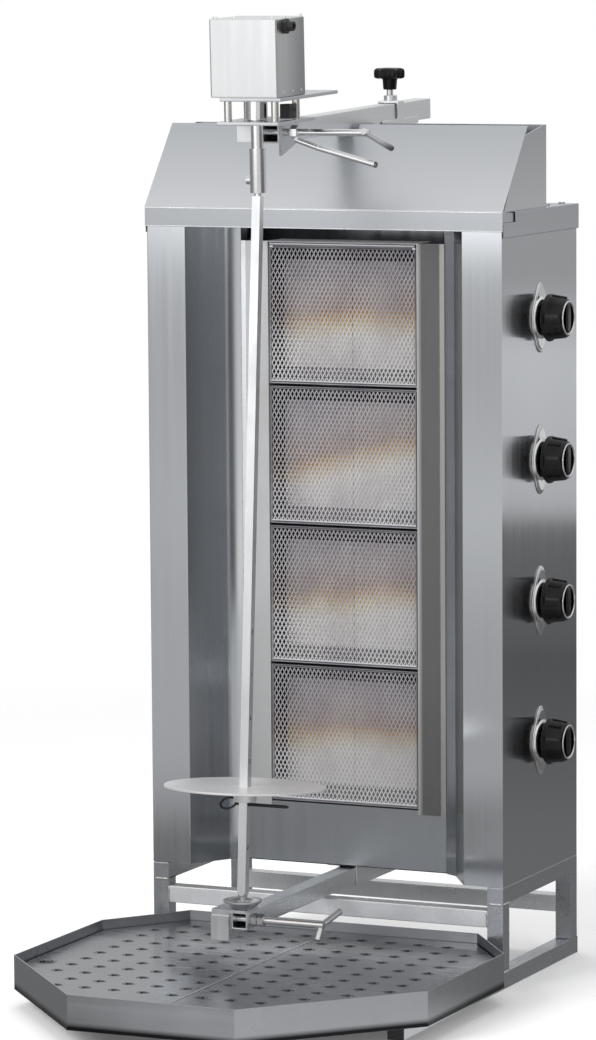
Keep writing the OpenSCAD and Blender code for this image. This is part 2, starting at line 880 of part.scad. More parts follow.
module lower_arm() {
    placed() color(steel) difference() {
        block([-lower_side / 2, lower_front, lower_top - lower_side],
            [lower_side / 2, lower_front + lower_len, lower_top]);
        block([-lower_side / 2 + arm_wall, lower_front - cut, lower_top - lower_side + arm_wall],
            [lower_side / 2 - arm_wall, lower_front + lower_len + cut, lower_top - arm_wall]);
        bar_x([-lower_side, -bearing_reach + 4, lower_z], screw_r + 0.1, 2 * lower_side);
    }
}

module bearing_carrier() {
    x1 = -lower_side / 2;
    y0 = -bearing_reach - 17;
    cone_gap = 0.05;
    placed() color(steel) difference() {
        union() {
            block([x1 - jaw_side, y0, lower_z - 22], [x1, y0 + jaw_side + 8, lower_z + 6]);
            block([x1 - jaw_side, y0 + 2, lower_z + 6], [x1, y0 + 38, lower_top]);
            block([x1 - jaw_side, y0 + 2, lower_top], [-x1, y0 + 38, lower_top + carrier_t]);
            bar_z([0, -bearing_reach, lower_top + carrier_t - cut], neck_r, neck_h - 1 + cut);
            bar_z([0, -bearing_reach, lower_top + carrier_t + neck_h - 2], neck_r + 1.5, 2);
        }
        bar_x([x1 - jaw_side + 4, -bearing_reach + 4, lower_z], screw_r + turn_gap, jaw_side);
        on_spit() translate([0, 0, -cone_gap / sin(30)])
            cylinder(r1 = 0, r2 = 20 * tan(30), h = 20, $fn = 48);
    }
}

module drip_cup() {
    z0 = lower_top + carrier_t;
    placed() color(dark_steel) translate([0, -bearing_reach, z0]) rotate_extrude($fn = 72)
        polygon([[neck_r + turn_gap, 0], [12, 0], [cup_r, 8], [cup_r, 10], [cup_r - 1.2, 10],
            [cup_r - 1.4, 8.6], [11.6, 1.2], [neck_r + turn_gap, 1.2]]);
}

module lower_clamp_screw() {
    start = -lower_side / 2 - jaw_side + 5;
    end = 99;
    kink = [end - 4, 2, -1];
    placed() color(chrome) translate([0, -bearing_reach + 4, lower_z]) {
        bar_x([start, 0, 0], screw_r, end - start);
        hex_x([lower_side / 2 + 0.3, 0, 0], 13, 7);
        hex_x([lower_side / 2 + 8.5, 0, 0], 13, 7);
        rod_between([end - 4, -9, -16], kink, 3.6);
        translate(kink) sphere(r = 3.6, $fn = 32);
        rod_between(kink, [end - 4, 53, 6], 3.6);
    }
}

// ---------- Spit ----------

module spit() {
    holes = 6;
    hole_step = 49;
    placed() color(chrome) on_spit() difference() {
        union() {
            cylinder(r1 = 0, r2 = cone_h * tan(30), h = cone_h, $fn = 48);
            difference() {
                translate([-spit_side / 2, -spit_side / 2, cone_h - eps])
                    cube([spit_side, spit_side, square_len - cone_h]);
                tip_chamfer();
            }
            bar_z([0, 0, square_len - cut], spit_pin_r, top_pin_len + cut);
        }
        for (i = [0 : holes - 1])
            bar_x([-spit_side, 0, pin_s + (i - 1) * hole_step], pin_r + turn_gap, 2 * spit_side);
    }
}

// The space outside a cone that points the foot of the square rod
module tip_chamfer() {
    difference() {
        translate([-spit_side, -spit_side, cone_h - 1]) cube([2 * spit_side, 2 * spit_side, 8]);
        cylinder(r1 = 0, r2 = 18 * tan(30), h = 18, $fn = 48);
    }
}

module meat_disc() {
    z0 = pin_s + pin_r + 0.05;
    gap = 0.3;
    side = spit_side + 2 * gap;
    placed() color(chrome) on_spit() translate([0, 0, z0]) difference() {
        union() {
            bar_z([0, 0, 0], hub_r, hub_len);
            translate([0, 0, hub_len - eps]) cylinder(r = disc_r, h = disc_t, $fn = 120);
        }
        translate([-side / 2, -side / 2, -cut]) cube([side, side, hub_len + disc_t + 2 * cut]);
    }
}

module lock_pin() {
    ring_r = 11;
    wire = 1.6;
    placed() color(dark_steel) on_spit() translate([0, 0, pin_s]) {
        bar_x([-9, 0, 0], pin_r, 64);
        translate([-9 - ring_r + wire, 0, 0]) rotate_extrude($fn = 48) translate([ring_r, 0])
            circle(r = wire, $fn = 24);
    }
}

// ---------- Drip tray ----------

// The eight-sided outline, moved in by a margin on every side
function tray_outline(m) = let (k = m * 0.42) [
    [-tray_front_half + k, tray_front + m], [tray_front_half - k, tray_front + m],
    [tray_w / 2 - m, tray_front + tray_side_front + k], [tray_w / 2 - m, tray_back - tray_side_back - k],
    [tray_rear_half - k, tray_back - m], [-tray_rear_half + k, tray_back - m],
    [-tray_w / 2 + m, tray_back - tray_side_back - k], [-tray_w / 2 + m, tray_front + tray_side_front + k]];

module tray() {
    placed() color(steel) translate([0, 0, tray_z]) difference() {
        linear_extrude(tray_h) polygon(tray_outline(0));
        translate([0, 0, sheet]) linear_extrude(tray_h) polygon(tray_outline(sheet));
    }
}

module insert_outline(m) {
    intersection() {
        polygon(tray_outline(sheet + insert_gap + m));
        translate([seam / 2 + m, tray_front]) square([tray_w, tray_d]);
    }
}

// The right-hand half of the perforated insert: a plate on its own turned-down rim
module tray_insert() {
    leg = tray_h - sheet - insert_drop;
    rows = floor((tray_d - 60) / hole_pitch);
    cols = floor((tray_w / 2 - 30) / hole_pitch);
    color(steel) translate([0, 0, tray_z + sheet]) difference() {
        linear_extrude(leg) insert_outline(0);
        translate([0, 0, -cut]) linear_extrude(leg - sheet + cut) insert_outline(sheet);
        for (i = [0 : cols - 1], j = [0 : rows - 1])
            if (inside_insert(hole_x(i), hole_y(j)))
                bar_z([hole_x(i), hole_y(j), leg - 2 * sheet], hole_r, 4 * sheet);
        bar_z([tray_w / 2 - 26, tray_front + tray_side_front + 30, leg - 2 * sheet], finger_r, 4 * sheet);
    }
}

function hole_x(i) = (i + 0.5) * hole_pitch;
function hole_y(j) = tray_back - 36 - j * hole_pitch;

// True where a drain hole keeps clear of the chamfered corners and the finger hole
function inside_insert(x, y) =
    let (margin = 16,
        rear = (tray_w / 2 - tray_rear_half) / tray_side_back,
        front = (tray_w / 2 - tray_front_half) / tray_side_front)
    x < tray_rear_half + (tray_back - y) * rear - margin * 1.3
    && x < tray_front_half + (y - tray_front) * front - margin * 1.3
    && x < tray_w / 2 - margin - 4
    && norm([x - tray_w / 2 + 26, y - tray_front - tray_side_front - 30]) > finger_r + 10;

module tray_insert_left() {
    placed() mirror([1, 0, 0]) tray_insert();
}

module tray_insert_right() {
    placed() tray_insert();
}

side_frame_left();
side_frame_right();
cross_rails();
rail_end_plugs();
bottom_panel();
back_panel();
left_side_panel();
right_side_panel();
burner_surround();
lower_recess_panel();
lid();
hood_front();
hood_shell();
panel_screws();
burner_boxes();
ceramic_tiles();
mesh_guard(0);  // mesh_guard_1
mesh_guard(1);  // mesh_guard_2
mesh_guard(2);  // mesh_guard_3
mesh_guard(3);  // mesh_guard_4
mixing_tubes();
gas_manifold();
gas_inlet();
gas_valves();
feed_pipes();
thermocouples();
knob_bezels();
spindle(0);  // spindle_1
spindle(1);  // spindle_2
spindle(2);  // spindle_3
spindle(3);  // spindle_4
knob(0);  // knob_1
knob(1);  // knob_2
knob(2);  // knob_3
knob(3);  // knob_4
arm_bracket();
star_knob();
upper_arm();
motor_carrier();
upper_clamp_jaw();
upper_clamp_screw();
lock_lever();
standoffs();
motor_plate();
gearbox();
motor();
motor_cover();
cable_gland();
drive_socket();
lower_guide();
lower_arm();
bearing_carrier();
lower_clamp_screw();
drip_cup();
spit();
meat_disc();
tray();
tray_insert_left();
tray_insert_right();
lock_pin();
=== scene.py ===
"""Looks for the vertical rotisserie broiler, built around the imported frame.

Every class is one sub-assembly. It replaces the plain pieces that deserve more shape, dresses the
others, and rides each new piece on the body that carries it. Lengths are metres in the row frame.
"""

import logging
import math
from dataclasses import dataclass
from enum import Enum
from typing import Callable, Iterable, Sequence

import bmesh
import bpy
from mathutils import Matrix, Vector


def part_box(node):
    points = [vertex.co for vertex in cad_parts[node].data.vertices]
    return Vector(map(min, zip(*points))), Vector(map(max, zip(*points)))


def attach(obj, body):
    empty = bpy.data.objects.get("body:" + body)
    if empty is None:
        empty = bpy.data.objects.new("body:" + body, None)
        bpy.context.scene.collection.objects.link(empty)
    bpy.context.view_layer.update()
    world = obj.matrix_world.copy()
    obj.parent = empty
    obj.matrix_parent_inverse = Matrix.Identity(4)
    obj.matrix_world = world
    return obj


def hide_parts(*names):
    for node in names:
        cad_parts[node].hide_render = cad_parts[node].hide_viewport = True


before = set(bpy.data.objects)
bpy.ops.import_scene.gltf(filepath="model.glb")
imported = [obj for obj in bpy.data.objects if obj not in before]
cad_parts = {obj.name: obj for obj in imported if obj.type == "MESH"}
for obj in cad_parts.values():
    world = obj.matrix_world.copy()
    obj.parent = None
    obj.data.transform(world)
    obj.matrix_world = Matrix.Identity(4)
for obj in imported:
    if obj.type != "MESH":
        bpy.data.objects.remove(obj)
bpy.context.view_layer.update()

LOG = logging.getLogger("broiler")
TURN = 2 * math.pi
RIGHT, BACK, UP = Vector((1, 0, 0)), Vector((0, 1, 0)), Vector((0, 0, 1))

Colour = tuple[float, float, float, float]
Pairs = Sequence[tuple[float, float]]
Socket = bpy.types.NodeSocket
Thing = bpy.types.Object


def srgb(red: int, green: int, blue: int) -> Colour:
    """Turns display values into the linear colour that a shader takes.

    Args:
        red: red from 0 to 255.
        green: green from 0 to 255.
        blue: blue from 0 to 255.

    Returns:
        The linear colour.
    """
    shares = [value / 255 for value in (red, green, blue)]
    return (*(share / 12.92 if share <= 0.04045 else ((share + 0.055) / 1.055) ** 2.4
              for share in shares), 1.0)


def scaled(colour: Colour, factor: float) -> Colour:
    """Makes a colour lighter or darker."""
    return (*(min(1.0, factor * part) for part in colour[:3]), 1.0)


class Grain(Enum):
    """Direction in which a sheet or bar was brushed, as noise frequencies along X, Y and Z."""

    UPRIGHT = (900.0, 900.0, 9.0)
    ACROSS = (9.0, 900.0, 900.0)
    DEEP = (900.0, 9.0, 900.0)
    SATIN = (420.0, 420.0, 420.0)


# ---------- Shader building ----------


class Graph:
    """A thin wrapper that adds nodes to a tree and links them."""

    def __init__(self, tree: bpy.types.NodeTree) -> None:
        """Keeps the tree."""
        self.tree = tree

    def add(self, kind: str, settings: dict | None = None, numbered: dict | None = None,
            **inputs: object) -> bpy.types.Node:
        """Adds one node and fills its inputs.

        Args:
            kind: the node's type, without the ShaderNode prefix.
            settings: properties of the node itself.
            numbered: socket values or sockets to link, by the input's number.
            inputs: the same by name, with _ for a space in the name.

        Returns:
            The new node.
        """
        prefix = "" if kind.startswith("NodeGroup") else "ShaderNode"
        node = self.tree.nodes.new(prefix + kind)
        for key, value in (settings or {}).items():
            setattr(node, key, value)
        self.fill(node, numbered or {})
        self.fill(node, inputs)
        return node

    def fill(self, node: bpy.types.Node, inputs: dict) -> None:
        """Links a node's inputs, or sets their values.

        Args:
            node: the node.
            inputs: values or sockets by the input's name or number, with _ for a space.
        """
        for key, value in inputs.items():
            socket = node.inputs[key.replace("_", " ") if isinstance(key, str) else key]
            if isinstance(value, Socket):
                self.tree.links.new(value, socket)
            else:
                socket.default_value = value

    def math(self, operation: str, *values: object) -> Socket:
        """Adds a Math node."""
        return self.add("Math", {"operation": operation}, dict(enumerate(values))).outputs[0]

    def times(self, first: object, second: object) -> Socket:
        """Multiplies two numbers."""
        return self.math("MULTIPLY", first, second)

    def vector(self, operation: str, *values: object) -> bpy.types.Node:
        """Adds a Vector Math node."""
        return self.add("VectorMath", {"operation": operation}, dict(enumerate(values)))

    def stretched(self, vector: object, scale: object) -> Socket:
        """Multiplies a vector by a vector."""
        return self.vector("MULTIPLY", vector, scale).outputs[0]

    def spread(self, value: object, low: float, high: float, to_low: float = 0.0,
               to_high: float = 1.0) -> Socket:
        """Maps a value from one range to another, and clamps it."""
        return self.add("MapRange", Value=value, From_Min=low, From_Max=high, To_Min=to_low,
                        To_Max=to_high).outputs["Result"]

    def blend(self, factor: object, first: object, second: object, mode: str = "MIX") -> Socket:
        """Mixes two colours."""
        return self.add("Mix", {"data_type": "RGBA", "blend_type": mode},
                        {0: factor, 6: first, 7: second}).outputs[2]

    def ramp(self, factor: object, stops: Sequence[tuple[float, Colour]]) -> Socket:
        """Adds a colour ramp.

        Args:
            factor: what drives the ramp.
            stops: positions and colours, in order.

        Returns:
            The colour socket.
        """
        node = self.add("ValToRGB", Fac=factor)
        elements = node.color_ramp.elements
        while len(elements) < len(stops):
            elements.new(0.5)
        for element, (position, colour) in zip(elements, stops):
            element.position = position
            element.color = colour
        return node.outputs["Color"]

    def greys(self, factor: object, levels: Pairs) -> Socket:
        """Adds a ramp of greys."""
        return self.ramp(factor, [(at, (level, level, level, 1)) for at, level in levels])

    def noise(self, vector: object, scale: object = 1.0, detail: float = 2.0) -> Socket:
        """Adds a noise texture."""
        return self.add("TexNoise", Vector=vector, Scale=scale, Detail=detail).outputs["Fac"]


def bare(owner: bpy.types.Material | bpy.types.World) -> Graph:
    """Turns on the nodes of a material or world and empties them.

    Args:
        owner: the material or world.

    Returns:
        A graph on its empty tree.
    """
    owner.use_nodes = True
    owner.node_tree.nodes.clear()
    return Graph(owner.node_tree)


class Effect(Enum):
    """The shader effects that several finishes share."""

    GRAIN = "BrushedGrain"
    SMUDGE = "HandlingMarks"
    EDGE = "EdgeWearAndHighlight"
    HEAT = "HeatBands"
    PORES = "FinePores"


def new_group(effect: Effect, defaults: dict[str, object], outputs: dict[str, str]
              ) -> tuple[Graph, bpy.types.NodeOutputs, bpy.types.Node]:
    """Starts a shader node group, whose first input is always Vector.

    Args:
        effect: which effect the group holds.
        defaults: default value of each further input: a number, or a tuple for a vector.
        outputs: socket type of each output.

    Returns:
        The graph, the sockets of the group's inputs and its output node.
    """
    tree = bpy.data.node_groups.new(effect.value, "ShaderNodeTree")
    for name, default in {"Vector": (0, 0, 0), **defaults}.items():
        kind = "NodeSocketVector" if isinstance(default, tuple) else "NodeSocketFloat"
        socket = tree.interface.new_socket(name=name, in_out="INPUT", socket_type=kind)
        socket.default_value = default
    for name, kind in outputs.items():
        tree.interface.new_socket(name=name, in_out="OUTPUT", socket_type=f"NodeSocket{kind}")
    graph = Graph(tree)
    return graph, graph.add("NodeGroupInput").outputs, graph.add("NodeGroupOutput")


def build_grain() -> None:
    """Builds the brushed grain: fine scratches, broad streaks and the normal that they give."""
    graph, source, target = new_group(
        Effect.GRAIN, {"Stretch": (1, 1, 1), "Depth": 0.1},
        {"Streak": "Float", "Scratch": "Float", "Normal": "Vector"})
    fine_at = graph.stretched(source["Vector"], source["Stretch"])
    fine = graph.noise(fine_at, detail=3.0)
    broad = graph.noise(graph.stretched(fine_at, (0.12, 0.12, 0.12)))
    bump = graph.add("Bump", Strength=source["Depth"], Distance=0.0004, Height=fine)
    graph.fill(target, {"Streak": broad, "Scratch": fine, "Normal": bump.outputs["Normal"]})


def build_smudge() -> None:
    """Builds the handling marks: soft cloudy patches."""
    graph, source, target = new_group(Effect.SMUDGE, {"Scale": 8.0}, {"Mask": "Float"})
    cloud = graph.noise(graph.stretched(source["Vector"], (1, 1, 0.6)), source["Scale"], 4.0)
    graph.fill(target, {"Mask": graph.spread(cloud, 0.42, 0.68)})


def build_edge() -> None:
    """Builds the edge mask: 1 on outer edges, broken by noise; wear on dark metal, wear and a
    painted highlight on plastic, a painted highlight on steel.
    """
    graph, source, target = new_group(Effect.EDGE, {"Radius": 0.0012}, {"Mask": "Float"})
    bevel = graph.add("Bevel", {"samples": 4}, Radius=source["Radius"])
    dot = graph.vector("DOT_PRODUCT", bevel.outputs["Normal"],
                       graph.add("NewGeometry").outputs["Normal"])
    edge = graph.spread(dot.outputs["Value"], 0.995, 0.86)
    breaks = graph.spread(graph.noise(source["Vector"], 160.0, 4.0), 0.35, 0.6, 0.25)
    graph.fill(target, {"Mask": graph.times(edge, breaks)})


def build_heat() -> None:
    """Builds a burner's heat bands: pale below, a scorched line, and darkened above."""
    graph, source, target = new_group(
        Effect.HEAT, {"Foot": 0.2, "Pitch": 0.166, "Ripple": 0.16},
        {"Colour": "Color", "Scorch": "Float"})
    along, _, up = graph.add("SeparateXYZ", Vector=source["Vector"]).outputs
    height = graph.math("DIVIDE", graph.math("SUBTRACT", up, source["Foot"]), source["Pitch"])
    burner = graph.math("FLOOR", height)
    within = graph.math("SUBTRACT", height, burner)
    seat = graph.add("CombineXYZ", X=graph.times(along, 13.0), Y=graph.times(burner, 7.3),
                     Z=graph.times(up, 6.0))
    wave = graph.math("SUBTRACT", graph.noise(seat.outputs[0], detail=3.0), 0.5)
    steepest = graph.math("ABSOLUTE", graph.math("SUBTRACT", burner, 1.8))
    slant = graph.times(graph.spread(steepest, 0.2, 1.4, -1.1, -0.1), along)
    edges = graph.math("MULTIPLY_ADD", graph.math("ABSOLUTE", along), 0.4, slant)
    level = graph.math("ADD", graph.math("MULTIPLY_ADD", wave, source["Ripple"], within), edges)
    patch = graph.noise(graph.stretched(source["Vector"], (20, 20, 20)), detail=4.0)
    colour = graph.ramp(level, [
        (0.0, srgb(190, 189, 192)), (0.34, srgb(200, 197, 192)), (0.44, srgb(196, 180, 146)),
        (0.51, srgb(178, 148, 106)), (0.57, srgb(152, 130, 118)), (0.72, srgb(150, 139, 142)),
        (0.9, srgb(138, 135, 143))])
    mottled = graph.blend(graph.spread(patch, 0.35, 0.75, 0.0, 0.4), colour, srgb(190, 184, 182))
    graph.fill(target, {"Colour": mottled, "Scorch": graph.spread(level, 0.38, 0.56)})


def build_pores() -> None:
    """Builds fine pores: the dimpled normal of cast, moulded or fired surfaces."""
    graph, source, target = new_group(Effect.PORES, {"Scale": 900.0, "Depth": 0.2},
                                      {"Mask": "Float", "Normal": "Vector"})
    cells = graph.add("TexVoronoi", Vector=source["Vector"], Scale=source["Scale"])
    hollow = graph.spread(cells.outputs["Distance"], 0.0, 0.5)
    bump = graph.add("Bump", Strength=source["Depth"], Distance=0.0003, Height=hollow)
    graph.fill(target, {"Mask": hollow, "Normal": bump.outputs["Normal"]})


class Skin:
    """One material under construction: its graph, its shader and the place on the surface."""

    def __init__(self, name: str) -> None:
        """Starts a material with an empty Principled shader.

        Args:
            name: the material's name.
        """
        self.material = bpy.data.materials.new(name)
        self.graph = bare(self.material)
        self.shader = self.graph.add("BsdfPrincipled")
        self.graph.add("OutputMaterial", Surface=self.shader.outputs[0])
        self.place = self.graph.add("TexCoord").outputs["Object"]

    def effect(self, effect: Effect, **inputs: object) -> bpy.types.NodeOutputs:
        """Places a shared effect with this material's own values."""
        return self.graph.add("Group", {"node_tree": bpy.data.node_groups[effect.value]},
                              Vector=self.place, **inputs).outputs

    def set(self, **inputs: object) -> None:
        """Feeds the Principled shader."""
        self.graph.fill(self.shader, inputs)


@dataclass(frozen=True)
class Surface:
    """What every finish has: a name, and a material made from its own values."""

    name: str

    def paint(self, skin: Skin, graph: Graph) -> None:
        """Feeds the shader. Each finish has its own."""
        raise NotImplementedError

    def build(self) -> bpy.types.Material:
        """Makes the material.

        Returns:
            The finished material.
        """
        skin = Skin(self.name)
        self.paint(skin, skin.graph)
        return skin.material


@dataclass(frozen=True)
class Zone:
    """A part of a surface with its own colour, along one axis of the object.

    It fades in from start to end and, where far is given, out again between far's two values.
    """

    axis: str
    start: float
    end: float
    colour: Colour
    far: tuple[float, float] | None = None


@dataclass(frozen=True)
class SteelFinish(Surface):
    """Stainless steel, brushed in one direction, with streaks and handling marks."""

    colour: Colour
    roughness: float
    grain: Grain = Grain.UPRIGHT
    depth: float = 0.02
    streak: float = 0.03
    marks: float = 0.05
    contrast: float = 0.95
    tint: Colour | None = None
    zone: Zone | None = None
    sideways: float = 0.0

    def paint(self, skin: Skin, graph: Graph) -> None:
        """Feeds the shader.

        Args:
            skin: the material under construction.
            graph: its graph.
        """
        grain = skin.effect(Effect.GRAIN, Stretch=self.grain.value, Depth=self.depth)
        smudge = skin.effect(Effect.SMUDGE, Scale=9.0)["Mask"]
        streak = graph.spread(grain["Streak"], 0.3, 0.7, -self.streak, self.streak)
        scratch = graph.spread(grain["Scratch"], 0.25, 0.75, -self.streak, self.streak)
        rough = graph.math("ADD", graph.math("ADD", streak, scratch),
                           graph.times(smudge, self.marks))
        shade = graph.spread(graph.math("ADD", grain["Streak"], grain["Scratch"]), 0.6, 1.4)
        base = graph.blend(shade, scaled(self.colour, self.contrast), self.colour)
        if self.tint is not None:
            base = graph.blend(graph.times(smudge, 0.35), base, self.tint)
        if self.zone is not None:
            along = graph.add("SeparateXYZ", Vector=skin.place).outputs[self.zone.axis]
            inside = graph.spread(along, self.zone.start, self.zone.end)
            if self.zone.far is not None:
                beyond = graph.spread(along, *self.zone.far, 1.0, 0.0)
                inside = graph.times(inside, beyond)
            base = graph.blend(inside, base, self.zone.colour)
        # Outer edges are painted a quarter lighter: a painted highlight along the steel's edges.
        edge = skin.effect(Effect.EDGE, Radius=0.0011)["Mask"]
        base = graph.blend(graph.times(edge, 0.6), base, scaled(self.colour, 1.25))
        skin.set(Base_Color=base, Roughness=graph.math("ADD", rough, self.roughness),
                 Metallic=1.0, Normal=grain["Normal"])
        if self.sideways > 0:
            around = graph.add("Tangent", {"direction_type": "RADIAL", "axis": "Z"})
            skin.set(Anisotropic=self.sideways, Tangent=around.outputs[0])


@dataclass(frozen=True)
class PolishedFinish(Surface):
    """Bright turned or plated metal with faint wear."""

    colour: Colour
    roughness: float = 0.14
    grain: Grain = Grain.SATIN
    metallic: float = 1.0

    def paint(self, skin: Skin, graph: Graph) -> None:
        """Feeds the shader.

        Args:
            skin: the material under construction.
            graph: its graph.
        """
        grain = skin.effect(Effect.GRAIN, Stretch=self.grain.value, Depth=0.03)
        smudge = skin.effect(Effect.SMUDGE, Scale=22.0)["Mask"]
        rough = graph.math("MULTIPLY_ADD", smudge, 0.12, self.roughness)
        base = graph.blend(graph.times(smudge, 0.5), self.colour, scaled(self.colour, 0.75))
        skin.set(Base_Color=base, Roughness=rough, Metallic=self.metallic, Normal=grain["Normal"])


@dataclass(frozen=True)
class DarkMetalFinish(Surface):
    """Oxidised or blackened steel whose edges are worn bright."""

    colour: Colour
    worn: Colour
    roughness: float = 0.45

    def paint(self, skin: Skin, graph: Graph) -> None:
        """Feeds the shader.

        Args:
            skin: the material under construction.
            graph: its graph.
        """
        edge = skin.effect(Effect.EDGE, Radius=0.0012)["Mask"]
        smudge = skin.effect(Effect.SMUDGE, Scale=30.0)["Mask"]
        grain = skin.effect(Effect.GRAIN, Stretch=Grain.SATIN.value, Depth=0.12)
        base = graph.blend(graph.times(smudge, 0.6), self.colour, scaled(self.colour, 1.7))
        skin.set(Base_Color=graph.blend(edge, base, self.worn), Metallic=0.9,
                 Roughness=graph.math("MULTIPLY_ADD", edge, -0.15, self.roughness),
                 Normal=grain["Normal"])


@dataclass(frozen=True)
class PlasticFinish(Surface):
    """Moulded black plastic with a soft sheen, lighter at its edges: partly rubbed wear, partly a
    painted highlight.
    """

    colour: Colour
    roughness: float = 0.22
    specular: float = 0.4

    def paint(self, skin: Skin, graph: Graph) -> None:
        """Feeds the shader.

        Args:
            skin: the material under construction.
            graph: its graph.
        """
        edge = skin.effect(Effect.EDGE, Radius=0.0008)["Mask"]
        smudge = skin.effect(Effect.SMUDGE, Scale=40.0)["Mask"]
        pores = skin.effect(Effect.PORES, Scale=1400.0, Depth=0.05)
        # Edges blend towards grey: partly rubbed wear, partly a painted highlight.
        skin.set(Base_Color=graph.blend(graph.times(edge, 0.35), self.colour, srgb(72, 72, 74)),
                 Roughness=graph.math("MULTIPLY_ADD", smudge, 0.18, self.roughness),
                 Specular_IOR_Level=self.specular, Normal=pores["Normal"])


@dataclass(frozen=True)
class CeramicFinish(Surface):
    """Porous fired ceramic with the heat bands of a used burner."""

    foot: float
    pitch: float

    def paint(self, skin: Skin, graph: Graph) -> None:
        """Feeds the shader.

        Args:
            skin: the material under construction.
            graph: its graph.
        """
        heat = skin.effect(Effect.HEAT, Foot=self.foot, Pitch=self.pitch, Ripple=0.22)
        pores = skin.effect(Effect.PORES, Scale=420.0, Depth=0.5)
        pitted = graph.blend(graph.spread(pores["Mask"], 0.0, 0.6, 0.35, 0.0), heat["Colour"],
                             srgb(120, 104, 92))
        skin.set(Base_Color=pitted, Roughness=graph.spread(pores["Mask"], 0.0, 1.0, 0.9, 0.75),
                 Normal=pores["Normal"])


@dataclass(frozen=True)
class GuardFinish(Surface):
    """The burners' expanded mesh and pans: steel with straw and blue heat tint."""

    colour: Colour
    foot: float
    pitch: float
    roughness: float = 0.34
    metallic: float = 0.9

    def paint(self, skin: Skin, graph: Graph) -> None:
        """Feeds the shader.

        Args:
            skin: the material under construction.
            graph: its graph.
        """
        heat = skin.effect(Effect.HEAT, Foot=self.foot, Pitch=self.pitch, Ripple=0.3)
        smudge = skin.effect(Effect.SMUDGE, Scale=26.0)["Mask"]
        tinted = graph.blend(graph.times(heat["Scorch"], 0.45), self.colour, heat["Colour"],
                             "MULTIPLY")
        skin.set(Base_Color=graph.blend(graph.times(smudge, 0.3), tinted, srgb(120, 112, 128)),
                 Roughness=graph.math("MULTIPLY_ADD", smudge, 0.15, self.roughness),
                 Metallic=self.metallic)


@dataclass(frozen=True)
class BrassFinish(Surface):
    """Dull brass fittings."""

    colour: Colour

    def paint(self, skin: Skin, graph: Graph) -> None:
        """Feeds the shader.

        Args:
            skin: the material under construction.
            graph: its graph.
        """
        smudge = skin.effect(Effect.SMUDGE, Scale=60.0)["Mask"]
        grain = skin.effect(Effect.GRAIN, Stretch=Grain.SATIN.value, Depth=0.08)
        skin.set(Base_Color=graph.blend(graph.times(smudge, 0.6), self.colour, srgb(112, 88, 52)),
                 Roughness=graph.math("MULTIPLY_ADD", smudge, 0.2, 0.3), Metallic=1.0,
                 Normal=grain["Normal"])


# ---------- Finishes ----------

BURNER_FOOT = 0.1945
BURNER_PITCH = 0.16575


